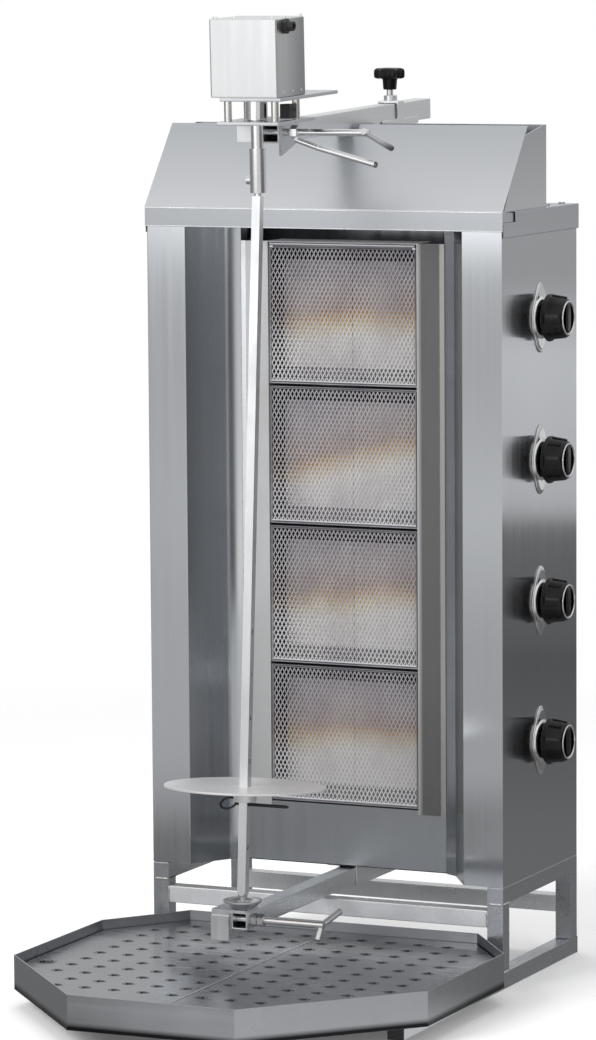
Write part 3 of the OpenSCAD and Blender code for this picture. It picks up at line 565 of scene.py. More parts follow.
class Finish(Enum):
    """Every finish on the object, by the piece or the metal that wears it."""

    COLUMN = SteelFinish("brushed_column_steel", srgb(200, 203, 207), 0.17, sideways=0.6)
    # The left wing's large facet, x -0.179 to -0.148, is painted darker: a painted dark
    # reflection.
    WING = SteelFinish("brushed_wing_steel", srgb(206, 209, 213), 0.14, sideways=0.6,
                       zone=Zone("X", -0.1790, -0.1780, srgb(154, 157, 161),
                                 (-0.1495, -0.1480)))
    # The hood steel is painted lighter from z 0.990 down to 0.905, back to its base tone below
    # 0.900: painted light, brighter towards the hood's lower edge.
    HOOD = SteelFinish("brushed_hood_steel", srgb(190, 193, 197), 0.34, Grain.ACROSS,
                       zone=Zone("Z", 0.990, 0.905, srgb(211, 213, 216), (0.902, 0.900)))
    SIDE = SteelFinish("brushed_side_steel", srgb(200, 203, 207), 0.14, Grain.UPRIGHT, 0.012,
                       0.015, 0.03, sideways=0.9)
    # The right cover strip, from x 0.092 on, is painted dark grey: a painted dark reflection; the
    # warm tint follows the handling marks.
    RECESS = SteelFinish("scorched_recess_steel_with_painted_reflection", srgb(226, 228, 230), 0.46, marks=0.10,
                         tint=srgb(200, 194, 186),
                         zone=Zone("X", 0.092, 0.099, srgb(122, 122, 122)))
    LOW = SteelFinish("lower_panel_steel", srgb(168, 171, 175), 0.30)
    TUBE = SteelFinish("drawn_tube_steel", srgb(198, 201, 205), 0.26, Grain.DEEP)
    RAIL = PolishedFinish("drawn_rail_steel", srgb(236, 238, 240), 0.24, Grain.ACROSS, 0.7)
    # The tray floor is painted near black from z 0.030 down to 0.024: painted shade under the
    # perforated inserts.
    TRAY = SteelFinish("rolled_tray_steel", srgb(182, 184, 188), 0.30, Grain.ACROSS, 0.03, 0.04,
                       0.12, 0.9, zone=Zone("Z", 0.030, 0.024, srgb(40, 40, 42)))
    INSERT = SteelFinish("perforated_insert_steel", srgb(166, 168, 172), 0.24, Grain.ACROSS, 0.03,
                         0.05, 0.16, 0.9)
    ARM = SteelFinish("machined_arm_steel", srgb(230, 232, 234), 0.26, Grain.DEEP)
    COVER = SteelFinish("cover_steel", srgb(234, 235, 236), 0.36, Grain.UPRIGHT, 0.05, 0.05, 0.05,
                        0.86)
    # The cover's side plates wear a darker copy of the cover steel, darker still towards the back
    # from y -0.105 to -0.060: painted shade.
    COVER_SIDE = SteelFinish("cover_side_steel", srgb(214, 215, 216), 0.34, Grain.UPRIGHT, 0.05,
                             0.06, 0.16, 0.8, zone=Zone("Y", -0.105, -0.060,
                                                        srgb(164, 165, 167)))
    PLATE = SteelFinish("plate_steel", srgb(203, 205, 208), 0.30, Grain.SATIN)
    PAN = GuardFinish("burner_pan_steel", srgb(172, 172, 176), BURNER_FOOT, BURNER_PITCH, 0.4)
    MESH = GuardFinish("expanded_mesh_steel", srgb(216, 215, 217), BURNER_FOOT, BURNER_PITCH,
                       0.42, 0.45)
    SPIT = PolishedFinish("spit_steel", srgb(235, 236, 238), 0.28, Grain.UPRIGHT)
    HANDLE = SteelFinish("polished_handle_steel", srgb(226, 226, 227), 0.14, Grain.SATIN,
                         zone=Zone("X", 0.1210, 0.1225, srgb(60, 60, 62)))
    CROSSBAR = SteelFinish("polished_crossbar_steel", srgb(226, 226, 227), 0.14, Grain.SATIN,
                           zone=Zone("Z", 0.984, 0.975, srgb(70, 70, 72)))
    BORDER = SteelFinish("guard_border_steel", srgb(214, 214, 218), 0.30, Grain.ACROSS)
    DISC = PolishedFinish("disc_steel", srgb(226, 226, 226), 0.36, metallic=0.72)
    CHROME = PolishedFinish("chrome_plate", srgb(228, 228, 228), 0.10)
    BRIGHT = PolishedFinish("turned_bright_steel", srgb(220, 219, 217), 0.2)
    # The drain rims are dark so that each hole reads darker and wider: painted shade round the
    # holes.
    RIM = DarkMetalFinish("drain_rim_steel", srgb(84, 84, 86), srgb(120, 120, 122), 0.5)
    DARK = DarkMetalFinish("blackened_steel", srgb(58, 58, 60), srgb(150, 150, 152))
    GAS = SteelFinish("gas_train_steel", srgb(178, 177, 174), 0.4, Grain.SATIN)
    BRASS = BrassFinish("fitting_brass", srgb(196, 160, 96))
    TILE = CeramicFinish("burner_ceramic", BURNER_FOOT, BURNER_PITCH)
    BLACK = PlasticFinish("knob_plastic", srgb(8, 8, 9), 0.14, 0.3)
    RUBBER = PlasticFinish("plug_plastic", srgb(34, 34, 35), 0.42)


class Store:
    """Makes each finish's material once and hands it out."""

    def __init__(self) -> None:
        """Starts with no material made."""
        self.made: dict[Finish, bpy.types.Material] = {}

    def get(self, finish: Finish) -> bpy.types.Material:
        """Gives a finish's material, and makes it the first time.

        Args:
            finish: the finish.

        Returns:
            Its material.
        """
        if finish not in self.made:
            self.made[finish] = finish.value.build()
        return self.made[finish]


STORE = Store()


# ---------- Mesh building ----------


def circle(centre: Vector, first: Vector, second: Vector, radius: float, segments: int,
           ripple: Callable[[float], float] | None = None) -> list[Vector]:
    """Gives points round a circle.

    Args:
        centre: its middle.
        first: unit vector towards the first point.
        second: unit vector a quarter turn on.
        radius: its radius.
        segments: how many points go round.
        ripple: gives a factor on the radius from the angle.

    Returns:
        The points, in order.
    """
    points = []
    for step in range(segments):
        angle = TURN * step / segments
        reach = radius * (ripple(angle) if ripple else 1.0)
        points.append(centre + first * (reach * math.cos(angle))
                      + second * (reach * math.sin(angle)))
    return points


def axes_for(direction: Vector) -> tuple[Vector, Vector]:
    """Gives two unit vectors square to a direction and to each other.

    Args:
        direction: the direction, of any length.

    Returns:
        The two vectors.
    """
    along = direction.normalized()
    helper = UP if abs(along.z) < 0.9 else BACK
    first = helper.cross(along).normalized()
    return first, along.cross(first).normalized()


class Builder:
    """Collects the shapes of one piece and turns them into an object on a body."""

    def __init__(self) -> None:
        """Starts with an empty mesh."""
        self.points: list[Vector] = []
        self.faces: list[tuple[int, ...]] = []
        self.finish_of: list[int] = []

    def add(self, points: Iterable[Vector], faces: Iterable[Sequence[int]], slot: int = 0) -> None:
        """Adds points and the faces between them.

        Args:
            points: the new points.
            faces: faces, by index into the new points.
            slot: index of the finish on these faces.
        """
        start = len(self.points)
        self.points.extend(points)
        for face in faces:
            self.faces.append(tuple(start + index for index in face))
            self.finish_of.append(slot)

    def loft(self, rings: Sequence[Sequence[Vector]], slot: int = 0, capped: bool = True,
             closed: bool = False) -> None:
        """Joins rings of points, each to the next.

        Args:
            rings: the rings, all with the same number of points.
            slot: index of the finish.
            capped: whether the first and last rings are filled.
            closed: whether the last ring joins the first.
        """
        count, size = len(rings), len(rings[0])
        faces = []
        for row in range(count if closed else count - 1):
            here, there = row * size, (row + 1) % count * size
            for step in range(size):
                after = (step + 1) % size
                faces.append((here + step, here + after, there + after, there + step))
        if capped:
            faces.append(tuple(reversed(range(size))))
            faces.append(tuple(range((count - 1) * size, count * size)))
        self.add([point for ring in rings for point in ring], faces, slot)

    def prism(self, outline: Sequence[Vector], depth: Vector, slot: int = 0) -> None:
        """Adds a flat outline pushed along a vector."""
        self.loft([outline, [point + depth for point in outline]], slot)

    def block(self, low: Sequence[float], high: Sequence[float], slot: int = 0) -> None:
        """Adds a box.

        Args:
            low: its low corner.
            high: its high corner.
            slot: index of the finish.
        """
        (x0, y0, z0), (x1, y1, z1) = low, high
        base = [Vector((x, y, z0)) for x, y in ((x0, y0), (x1, y0), (x1, y1), (x0, y1))]
        self.prism(base, Vector((0, 0, z1 - z0)), slot)

    def lathe(self, start: Vector, direction: Vector, profile: Pairs, segments: int = 48,
              slot: int = 0, ripple: Callable[[float], float] | None = None) -> None:
        """Turns a profile about a line.

        Args:
            start: the line's first point.
            direction: the line's direction.
            profile: distance along the line and radius, in order; the ends are capped.
            segments: how many steps go round.
            slot: index of the finish.
            ripple: gives a factor on the radius from the angle.
        """
        along = direction.normalized()
        axes = axes_for(direction)
        self.loft([circle(start + along * distance, *axes, radius, segments, ripple)
                   for distance, radius in profile], slot)

    def pin(self, start: Vector, direction: Vector, length: float, radius: float, tip: float,
            lead: float, segments: int) -> None:
        """Adds a round bar with tapered ends."""
        self.lathe(start, direction, [(0.0, tip), (lead, radius), (length - lead, radius),
                                      (length, tip)], segments)

    def hoop(self, ring: Sequence[Vector], radius: float, segments: int) -> None:
        """Adds a round bar that follows a closed ring.

        Args:
            ring: points of the ring, in order.
            radius: radius of the bar.
            segments: how many steps go round the bar.
        """
        count = len(ring)
        sections, first = [], None
        for index, point in enumerate(ring):
            along = (ring[(index + 1) % count] - ring[index - 1]).normalized()
            first = axes_for(along)[0] if first is None else first
            first = (first - along * first.dot(along)).normalized()
            sections.append(circle(point, first, along.cross(first), radius, segments))
        self.loft(sections, capped=False, closed=True)

    def dome(self, outline: Sequence[Vector], out: Vector, rings: Pairs) -> None:
        """Adds a pressed plate: an outline that shrinks to its middle as it rises.

        Args:
            outline: the foot of the plate, in order.
            out: the unit direction in which it rises.
            rings: scale and height of each ring, in order.
        """
        middle = sum(outline, Vector()) / len(outline)
        self.loft([[middle + (point - middle) * scale + out * height for point in outline]
                   for scale, height in rings])

    def piece(self, name: str, body: str, slot: str, finishes: Sequence[Finish],
              bevel: float = 0.0, segments: int = 2, smooth: bool = True,
              instead: str | None = None) -> None:
        """Makes the object, dresses it and puts it on its body.

        Args:
            name: the piece's name.
            body: the CAD body that carries it.
            slot: the record's material slot; not used.
            finishes: the finishes, in the order of the slots used while building.
            bevel: width of the rounded edges, or 0 for none.
            segments: steps in the rounded edges.
            smooth: whether the faces shade smoothly.
            instead: the CAD node that it replaces, if any.
        """
        mesh = bpy.data.meshes.new(name)
        mesh.from_pydata([tuple(point) for point in self.points], [], self.faces)
        mesh.update()
        for finish in finishes:
            mesh.materials.append(STORE.get(finish))
        mesh.polygons.foreach_set("material_index", self.finish_of)
        if smooth:
            mesh.shade_smooth()
        shape = bmesh.new()
        shape.from_mesh(mesh)
        bmesh.ops.recalc_face_normals(shape, faces=shape.faces)
        shape.to_mesh(mesh)
        shape.free()
        thing = bpy.data.objects.new(name, mesh)
        bpy.context.scene.collection.objects.link(thing)
        if smooth:
            round_edges(thing, bevel, segments)
        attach(thing, body)
        if instead is not None:
            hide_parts(instead)
        LOG.info("built %s", name)


def round_edges(thing: Thing, width: float, segments: int = 2) -> None:
    """Rounds an object's sharp edges and evens its shading, without touching its mesh.

    Args:
        thing: the object.
        width: width of the rounded edges, or 0 for none.
        segments: steps in the rounded edges.
    """
    if width > 0:
        bevel = thing.modifiers.new("rounded_edges", "BEVEL")
        bevel.width = width
        bevel.segments = segments
        bevel.limit_method = "ANGLE"
        bevel.angle_limit = math.radians(32)
        bevel.use_clamp_overlap = True
    normals = thing.modifiers.new("even_shading", "WEIGHTED_NORMAL")
    normals.keep_sharp = False
    normals.weight = 60


def dress(finish: Finish, width: float, *nodes: str) -> None:
    """Gives CAD nodes a finish and rounded edges.

    Args:
        finish: what they wear.
        width: width of the rounded edges, or 0 to leave the edges as they are.
        nodes: names of the nodes.
    """
    for name in nodes:
        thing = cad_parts[name]
        for slot in thing.material_slots:
            slot.material = STORE.get(finish)
        if width > 0:
            weld = thing.modifiers.new("joined_corners", "WELD")
            weld.merge_threshold = 1e-6
            round_edges(thing, width)
        LOG.info("dressed %s in %s", name, finish.value.name)


# ---------- Sub-assemblies ----------


@dataclass
class Cabinet:
    """Base frame, shells, lid, hood and their fastenings."""

    body: str = "cabinet"
    weld_radius: float = 0.0016
    weld_step: float = 0.0022
    clip_size: tuple[float, float, float] = (0.010, 0.003, 0.007)
    clip_inset: tuple[float, float] = (0.004, 0.003)
    filler_overlap: float = 0.002
    filler_depth: tuple[float, float] = (0.0004, 0.0016)
    fold_radii: tuple[float, float] = (0.0010, 0.0007)

    def build(self) -> None:
        """Dresses the shells and adds the weld beads, lid clip, recess fillers and the painted
        fold highlights.
        """
        dress(Finish.TUBE, 0.0012, "side_frame_left", "side_frame_right")
        dress(Finish.RAIL, 0.0012, "cross_rails")
        dress(Finish.RUBBER, 0.0008, "rail_end_plugs")
        dress(Finish.COLUMN, 0.0009, "back_panel", "bottom_panel")
        dress(Finish.WING, 0.0009, "left_side_panel")
        dress(Finish.SIDE, 0.0, "right_side_panel")
        dress(Finish.RECESS, 0.0005, "burner_surround")
        dress(Finish.LOW, 0.0005, "lower_recess_panel")
        dress(Finish.HOOD, 0.0012, "lid")
        dress(Finish.HOOD, 0.0005, "hood_front", "hood_shell")
        dress(Finish.BRIGHT, 0.0003, "panel_screws")
        self.weld_beads()
        self.lid_clip()
        self.recess_fillers()
        self.fold_highlights()

    def bead(self, builder: Builder, start: Sequence[float], end: Sequence[float]) -> None:
        """Adds one rippled weld bead along a line.

        Args:
            builder: where it is added.
            start: the line's first point.
            end: the line's last point.
        """
        start, end = Vector(start), Vector(end)
        length = (end - start).length
        steps = max(4, int(length / self.weld_step))
        builder.lathe(start, end - start,
                      [(length * i / steps, self.weld_radius
                        * (0.78 + 0.22 * math.sin(i * 2.4) ** 2)
                        * (0.35 if i in (0, steps) else 1.0)) for i in range(steps + 1)], 10)

    def weld_beads(self) -> None:
        """Adds weld beads where the posts of the side frames meet their rails."""
        builder = Builder()
        rail_low, rail_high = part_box("cross_rails")
        front = rail_low.y
        for node in ("side_frame_left", "side_frame_right"):
            low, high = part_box(node)
            inner, outer = (high.x, low.x) if node.endswith("left") else (low.x, high.x)
            tube = high.x - low.x
            for z in (low.z + tube, high.z - tube):
                self.bead(builder, (low.x + 0.001, front, z), (high.x - 0.001, front, z))
                for x in (inner, outer):
                    self.bead(builder, (x, front + 0.001, z), (x, front + tube - 0.001, z))
            self.bead(builder, (inner, front + 0.0005, rail_high.z - tube),
                      (inner, front + 0.0005, rail_high.z))
        builder.piece("weld_beads", self.body, "tube_steel", [Finish.BRIGHT])

    def recess_fillers(self) -> None:
        """Adds the narrow plates that close the recess between each cover strip and its wing; the
        left one is bright, a painted highlight line.
        """
        low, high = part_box("burner_surround")
        front, back = (low.y + depth for depth in self.filler_depth)
        left = (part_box("left_side_panel")[1].x, low.x + self.filler_overlap)
        right = (high.x - self.filler_overlap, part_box("right_side_panel")[0].x)
        builder = Builder()
        for slot, (start, end) in enumerate((left, right)):
            builder.block((start, front, low.z), (end, back, high.z), slot)
        # The left filler wears bright rail steel as a painted highlight line; the right one wears
        # gas-train steel.
        builder.piece("recess_fillers", self.body, "sheet_steel", [Finish.RAIL, Finish.GAS],
                      0.0003)

    def fold_highlights(self) -> None:
        """Adds thin bright rods along the folds of the hood's front lip: painted highlights on the
        folds.
        """
        low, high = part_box("hood_front")
        builder = Builder()
        for z, radius in zip((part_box("lid")[1].z, low.z + 0.0008), self.fold_radii):
            builder.pin(Vector((low.x + 0.0006, low.y + radius * 0.6, z)), RIGHT,
                        high.x - low.x - 0.0012, radius, radius * 0.5, 0.0008, 16)
        builder.piece("hood_fold_highlights", self.body, "sheet_steel", [Finish.RAIL], 0.0001)

    def lid_clip(self) -> None:
        """Adds the small clip that holds the lid's front corner."""
        low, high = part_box("lid")
        wide, thick, tall = self.clip_size
        right, foot = high.x - self.clip_inset[0], low.z + self.clip_inset[1]
        builder = Builder()
        builder.block((right - wide, low.y + 0.0002, foot),
                      (right, low.y + 0.0002 + thick, foot + tall))
        builder.lathe(Vector((right - wide / 2, low.y + 0.0004, foot + tall / 2)), BACK,
                      [(-0.0002, 0.0016), (0.0006, 0.0024), (0.001, 0.0024)], 20)
        builder.piece("lid_clip", self.body, "dark_steel", [Finish.DARK], 0.0004)


@dataclass
class Burners:
    """The four burners: mesh guards, funnel plates and ceramic, and the bar over them."""

    body: str = "cabinet"
    count: int = 4
    cell_wide: float = 0.0052
    cell_tall: float = 0.0102
    strand_half: float = 0.00062
    strand_thin: float = 0.00028
    strand_overrun: float = 0.0004
    twist: float = math.radians(26)
    border: float = 0.0032
    side: float = 0.0012
    gauge: float = 0.0012
    stand_back: float = 0.0003
    funnel: float = 0.015
    funnel_taper: float = 0.004
    funnel_inset: float = 0.0016
    funnel_gauge: float = 0.0008
    seam_half: float = 0.0006
    roll_radius: float = 0.0024
    roll_foot: tuple[float, float] = (0.004, 0.012)

    def build(self) -> None:
        """Replaces the guards, adds the funnels and the top bar, and dresses the rest."""
        dress(Finish.PAN, 0.0004, "burner_boxes")
        dress(Finish.TILE, 0.0004, "ceramic_tiles")
        for index in range(1, self.count + 1):
            self.guard(f"mesh_guard_{index}")
            self.funnel_plates(index)
        self.top_roll()

    def top_roll(self) -> None:
        """Adds the rolled bar over the top burner."""
        low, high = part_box(f"mesh_guard_{self.count}")
        radius, span = self.roll_radius, high.x - low.x
        wide, deep = self.roll_foot
        start = Vector((low.x, low.y + 0.0002, high.z + radius + 0.0016))
        builder = Builder()
        builder.pin(start, RIGHT, span, radius, radius * 0.8, 0.0006, 28)
        for x in (start.x, start.x + span - wide):
            builder.block((x, start.y, start.z - radius * 1.8),
                          (x + wide, start.y + deep, start.z + radius * 0.6))
        builder.piece("burner_top_roll", self.body, "sheet_steel", [Finish.BORDER], 0.0002)

    def strands(self, builder: Builder, low: Vector, high: Vector) -> None:
        """Adds the twisted strands of expanded metal.

        Args:
            builder: where they are added.
            low: low corner of the guard.
            high: high corner of the guard.
        """
        margin = self.border * 0.6
        x0, x1, z0, z1 = low.x + margin, high.x - margin, low.z + margin, high.z - margin
        across = 2 * round((x1 - x0) / self.cell_wide)
        up = 2 * round((z1 - z0) / self.cell_tall)
        step_x, step_z = (x1 - x0) / across, (z1 - z0) / up
        depth = low.y + 0.0009
        front = -BACK
        for i in range(across):
            for j in range(up):
                foot, head = (j, j + 1) if (i + j) % 2 == 0 else (j + 1, j)
                start = Vector((x0 + i * step_x, depth, z0 + foot * step_z))
                end = Vector((x0 + (i + 1) * step_x, depth, z0 + head * step_z))
                along = (end - start).normalized()
                flat = front.cross(along)
                if flat.z < 0:
                    flat = -flat
                wide = flat * math.cos(self.twist) + front * math.sin(self.twist)
                thin = along.cross(wide) * self.strand_thin
                wide = wide * self.strand_half
                reach = along * self.strand_overrun
                section = (wide + thin, wide - thin, -wide - thin, thin - wide)
                builder.loft([[start - reach + part for part in section],
                              [end + reach + part for part in section]], capped=False)

    def guard(self, node: str) -> None:
        """Builds one mesh guard: its net, its border and its side flanges.

        Args:
            node: the CAD node that it replaces.
        """
        low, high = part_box(node)
        mesh = Builder()
        self.strands(mesh, low, high)
        mesh.piece(f"{node}_net", self.body, "dark_steel", [Finish.MESH], smooth=False,
                   instead=node)
        (x0, y0, z0), (x1, y1, z1) = low, high
        front, half, side = y0 + self.stand_back, self.border / 2, self.side
        back = front + self.gauge
        frame = Builder()
        for xa, xb in ((x0, x0 + side), (x1 - side, x1)):
            frame.block((xa, front, z0), (xb, back, z1), 1)
        frame.block((x0 + side, front, z1 - side), (x1 - side, back, z1), 1)
        frame.pin(Vector((x0 + 0.0004, y0 + half + 0.0001, z0 + half)), RIGHT,
                  x1 - x0 - 0.0008, half, half - 0.0003, 0.0003, 24)
        for xa, xb in ((x0, x0 + self.gauge), (x1 - self.gauge, x1)):
            frame.block((xa, back, z0), (xb, y1, z1), 1)
        frame.piece(f"{node}_rim", self.body, "dark_steel", [Finish.BORDER, Finish.PAN], 0.0002,
                    instead=node)

    def funnel_plates(self, index: int) -> None:
        """Builds the sloping plates from the guard's edge back to the ceramic, and its seam.

        Args:
            index: the burner's number, from the bottom.
        """
        low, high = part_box(f"mesh_guard_{index}")
        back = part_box("ceramic_tiles")[0].y - 0.0004
        front = low.y + 0.004
        x0, x1 = low.x + self.funnel_inset, high.x - self.funnel_inset
        z0, z1 = low.z + self.funnel_inset, high.z - self.funnel_inset
        xa, xb = x0 + self.funnel_taper, x1 - self.funnel_taper
        za, zb = z0 + self.funnel, z1 - self.funnel
        outer = [Vector((x, front, z)) for x, z in ((x0, z0), (x1, z0), (x1, z1), (x0, z1))]
        inner = [Vector((x, back, z)) for x, z in ((xa, za), (xb, za), (xb, zb), (xa, zb))]
        mouth = sum(outer, Vector()) / 4
        builder = Builder()
        for side in range(4):
            other = (side + 1) % 4
            face = [outer[side], outer[other], inner[other], inner[side]]
            lift = (face[1] - face[0]).cross(face[3] - face[0]).normalized() * self.funnel_gauge
            if lift.dot(sum(face, Vector()) / 4 - mouth) < 0:
                lift = -lift
            builder.prism(face, lift, 0 if side == 0 else 1)
        builder.piece(f"burner_funnel_{index}", self.body, "dark_steel", [Finish.PAN, Finish.DARK],
                      0.0002)
        middle = (x0 + x1) / 2
        seam = Builder()
        seam.block((middle - self.seam_half, back - 0.0006, za),
                   (middle + self.seam_half, back + 0.0003, zb))
        seam.piece(f"tile_seam_{index}", self.body, "ceramic", [Finish.TILE], 0.0002)


@dataclass
class Knobs:
    """The gas knobs on their spindles and the pressed plates behind them."""

    count: int = 4
    stand_off: float = 0.0042
    taper: float = 0.0055
    skirt: float = 0.0030
    shoulder: float = 0.0035
    flutes: int = 12
    flute_depth: float = 0.012
    ring_out: float = 0.0202
    ring_in: float = 0.0180
    bar: tuple[float, float] = (0.0175, 0.0058)
    bar_rings: Pairs = ((1.08, 0.0), (1.0, 0.0008), (0.96, 0.0017), (0.8, 0.0022), (0.3, 0.0022))
    ridge_half: float = 0.0032
    ridge_lift: float = 0.0028
    plate_rings: Pairs = ((1.0, 0.0), (0.995, 0.0010), (0.97, 0.0017), (0.93, 0.0016),
                          (0.90, 0.0018))
    plate_rim: float = 0.88
    boss: Pairs = ((0.0010, 0.98), (0.0026, 0.97), (0.0040, 0.93), (0.0056, 0.86), (0.0066, 0.76),
                   (0.0070, 0.66))

    def build(self) -> None:
        """Builds each knob and the four plates."""
        for index in range(1, self.count + 1):
            self.knob(f"knob_{index}")
            dress(Finish.BRASS, 0.0003, f"spindle_{index}")
        self.plates()

    def flute(self, angle: float) -> float:
        """Shapes the grip's shallow flats."""
        return 1.0 - self.flute_depth * (0.5 + 0.5 * math.cos(self.flutes * angle))

    def knob(self, node: str) -> None:
        """Builds one knob: a fluted tapered body, a raised bar, a bright ring and a ridge.

        Args:
            node: the CAD node that it replaces.
        """
        low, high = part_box(node)
        centre = (low + high) / 2
        start = Vector((low.x + self.stand_off, centre.y, centre.z))
        length = high.x - low.x - self.stand_off
        base = (high.z - low.z) / 2
        face = base - self.taper
        grip = Builder()
        grip.lathe(start, RIGHT, [
            (0.0, base - 0.0012), (0.0008, base - 0.0002), (self.skirt, base),
            (self.skirt + 0.0012, base - 0.0016), (self.skirt + 0.002, base - 0.0024),
            (length - self.shoulder - 0.002, face + 0.0012), (length - self.shoulder, face),
            (length - 0.0021, face - 0.0012), (length - 0.0014, face - 0.003),
            (length - 0.0016, self.ring_out + 0.0004)], 96, 0, self.flute)
        half, thick = self.bar
        tip = start + RIGHT * (length - 0.0022)
        outline = []
        for step in range(24):
            across, up = math.cos(TURN * step / 24), math.sin(TURN * step / 24)
            flat = math.copysign(abs(across) ** 0.5, across)
            tall = math.copysign(abs(up) ** 0.8, up)
            outline.append(tip + Vector((0, thick * flat, half * tall)))
        grip.dome(outline, RIGHT, self.bar_rings)
        grip.piece(f"{node}_grip", node, "black_plastic", [Finish.BLACK], 0.0003, instead=node)
        ring = Builder()
        ring.lathe(start, RIGHT, [
            (length - 0.0020, self.ring_out), (length - 0.0007, self.ring_out),
            (length - 0.0002, self.ring_out - 0.0006), (length - 0.0002, self.ring_in + 0.0006),
            (length - 0.0008, self.ring_in), (length - 0.0016, self.ring_in - 0.0002)], 72)
        ring.piece(f"{node}_ring", node, "chrome", [Finish.CHROME], instead=node)
        top = start + Vector((self.skirt + 0.002, 0, base - 0.0036))
        end = start + Vector((length - 0.003, 0, face - 0.0006))
        wide = BACK * self.ridge_half
        ridge = Builder()
        ridge.prism([top - wide, top + wide, end + wide * 0.8, end - wide * 0.8],
                    UP * self.ridge_lift)
        ridge.piece(f"{node}_ridge", node, "black_plastic", [Finish.BLACK], 0.0012, 3,
                    instead=node)

    def plates(self) -> None:
        """Builds the pressed plates: round, with a point above and a foot below."""
        low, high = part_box("knob_bezels")
        radius = (high.y - low.y) / 2
        middles = [sum(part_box(f"knob_{index}"), Vector()) / 2
                   for index in range(1, self.count + 1)]
        beyond = high.z - middles[-1].z - radius
        builder = Builder()
        for middle in middles:
            centre = Vector((low.x, middle.y, middle.z))
            outline = circle(centre, BACK, UP, 1.0, 96,
                             lambda angle: radius + beyond * abs(math.sin(angle)) ** 10)
            builder.dome(outline, RIGHT, (*self.plate_rings, (self.plate_rim, high.x - low.x)))
            builder.lathe(centre, RIGHT, [(at, radius * share) for at, share in self.boss], 72)
        builder.piece("bezel_plates", "cabinet", "chrome", [Finish.CHROME], instead="knob_bezels")


@dataclass
class GasTrain:
    """The pipes, valves and injectors inside the cabinet."""

    def build(self) -> None:
        """Dresses the gas train."""
        dress(Finish.GAS, 0.0003, "gas_manifold", "feed_pipes", "mixing_tubes", "thermocouples")
        dress(Finish.BRASS, 0.0003, "gas_valves", "gas_inlet")


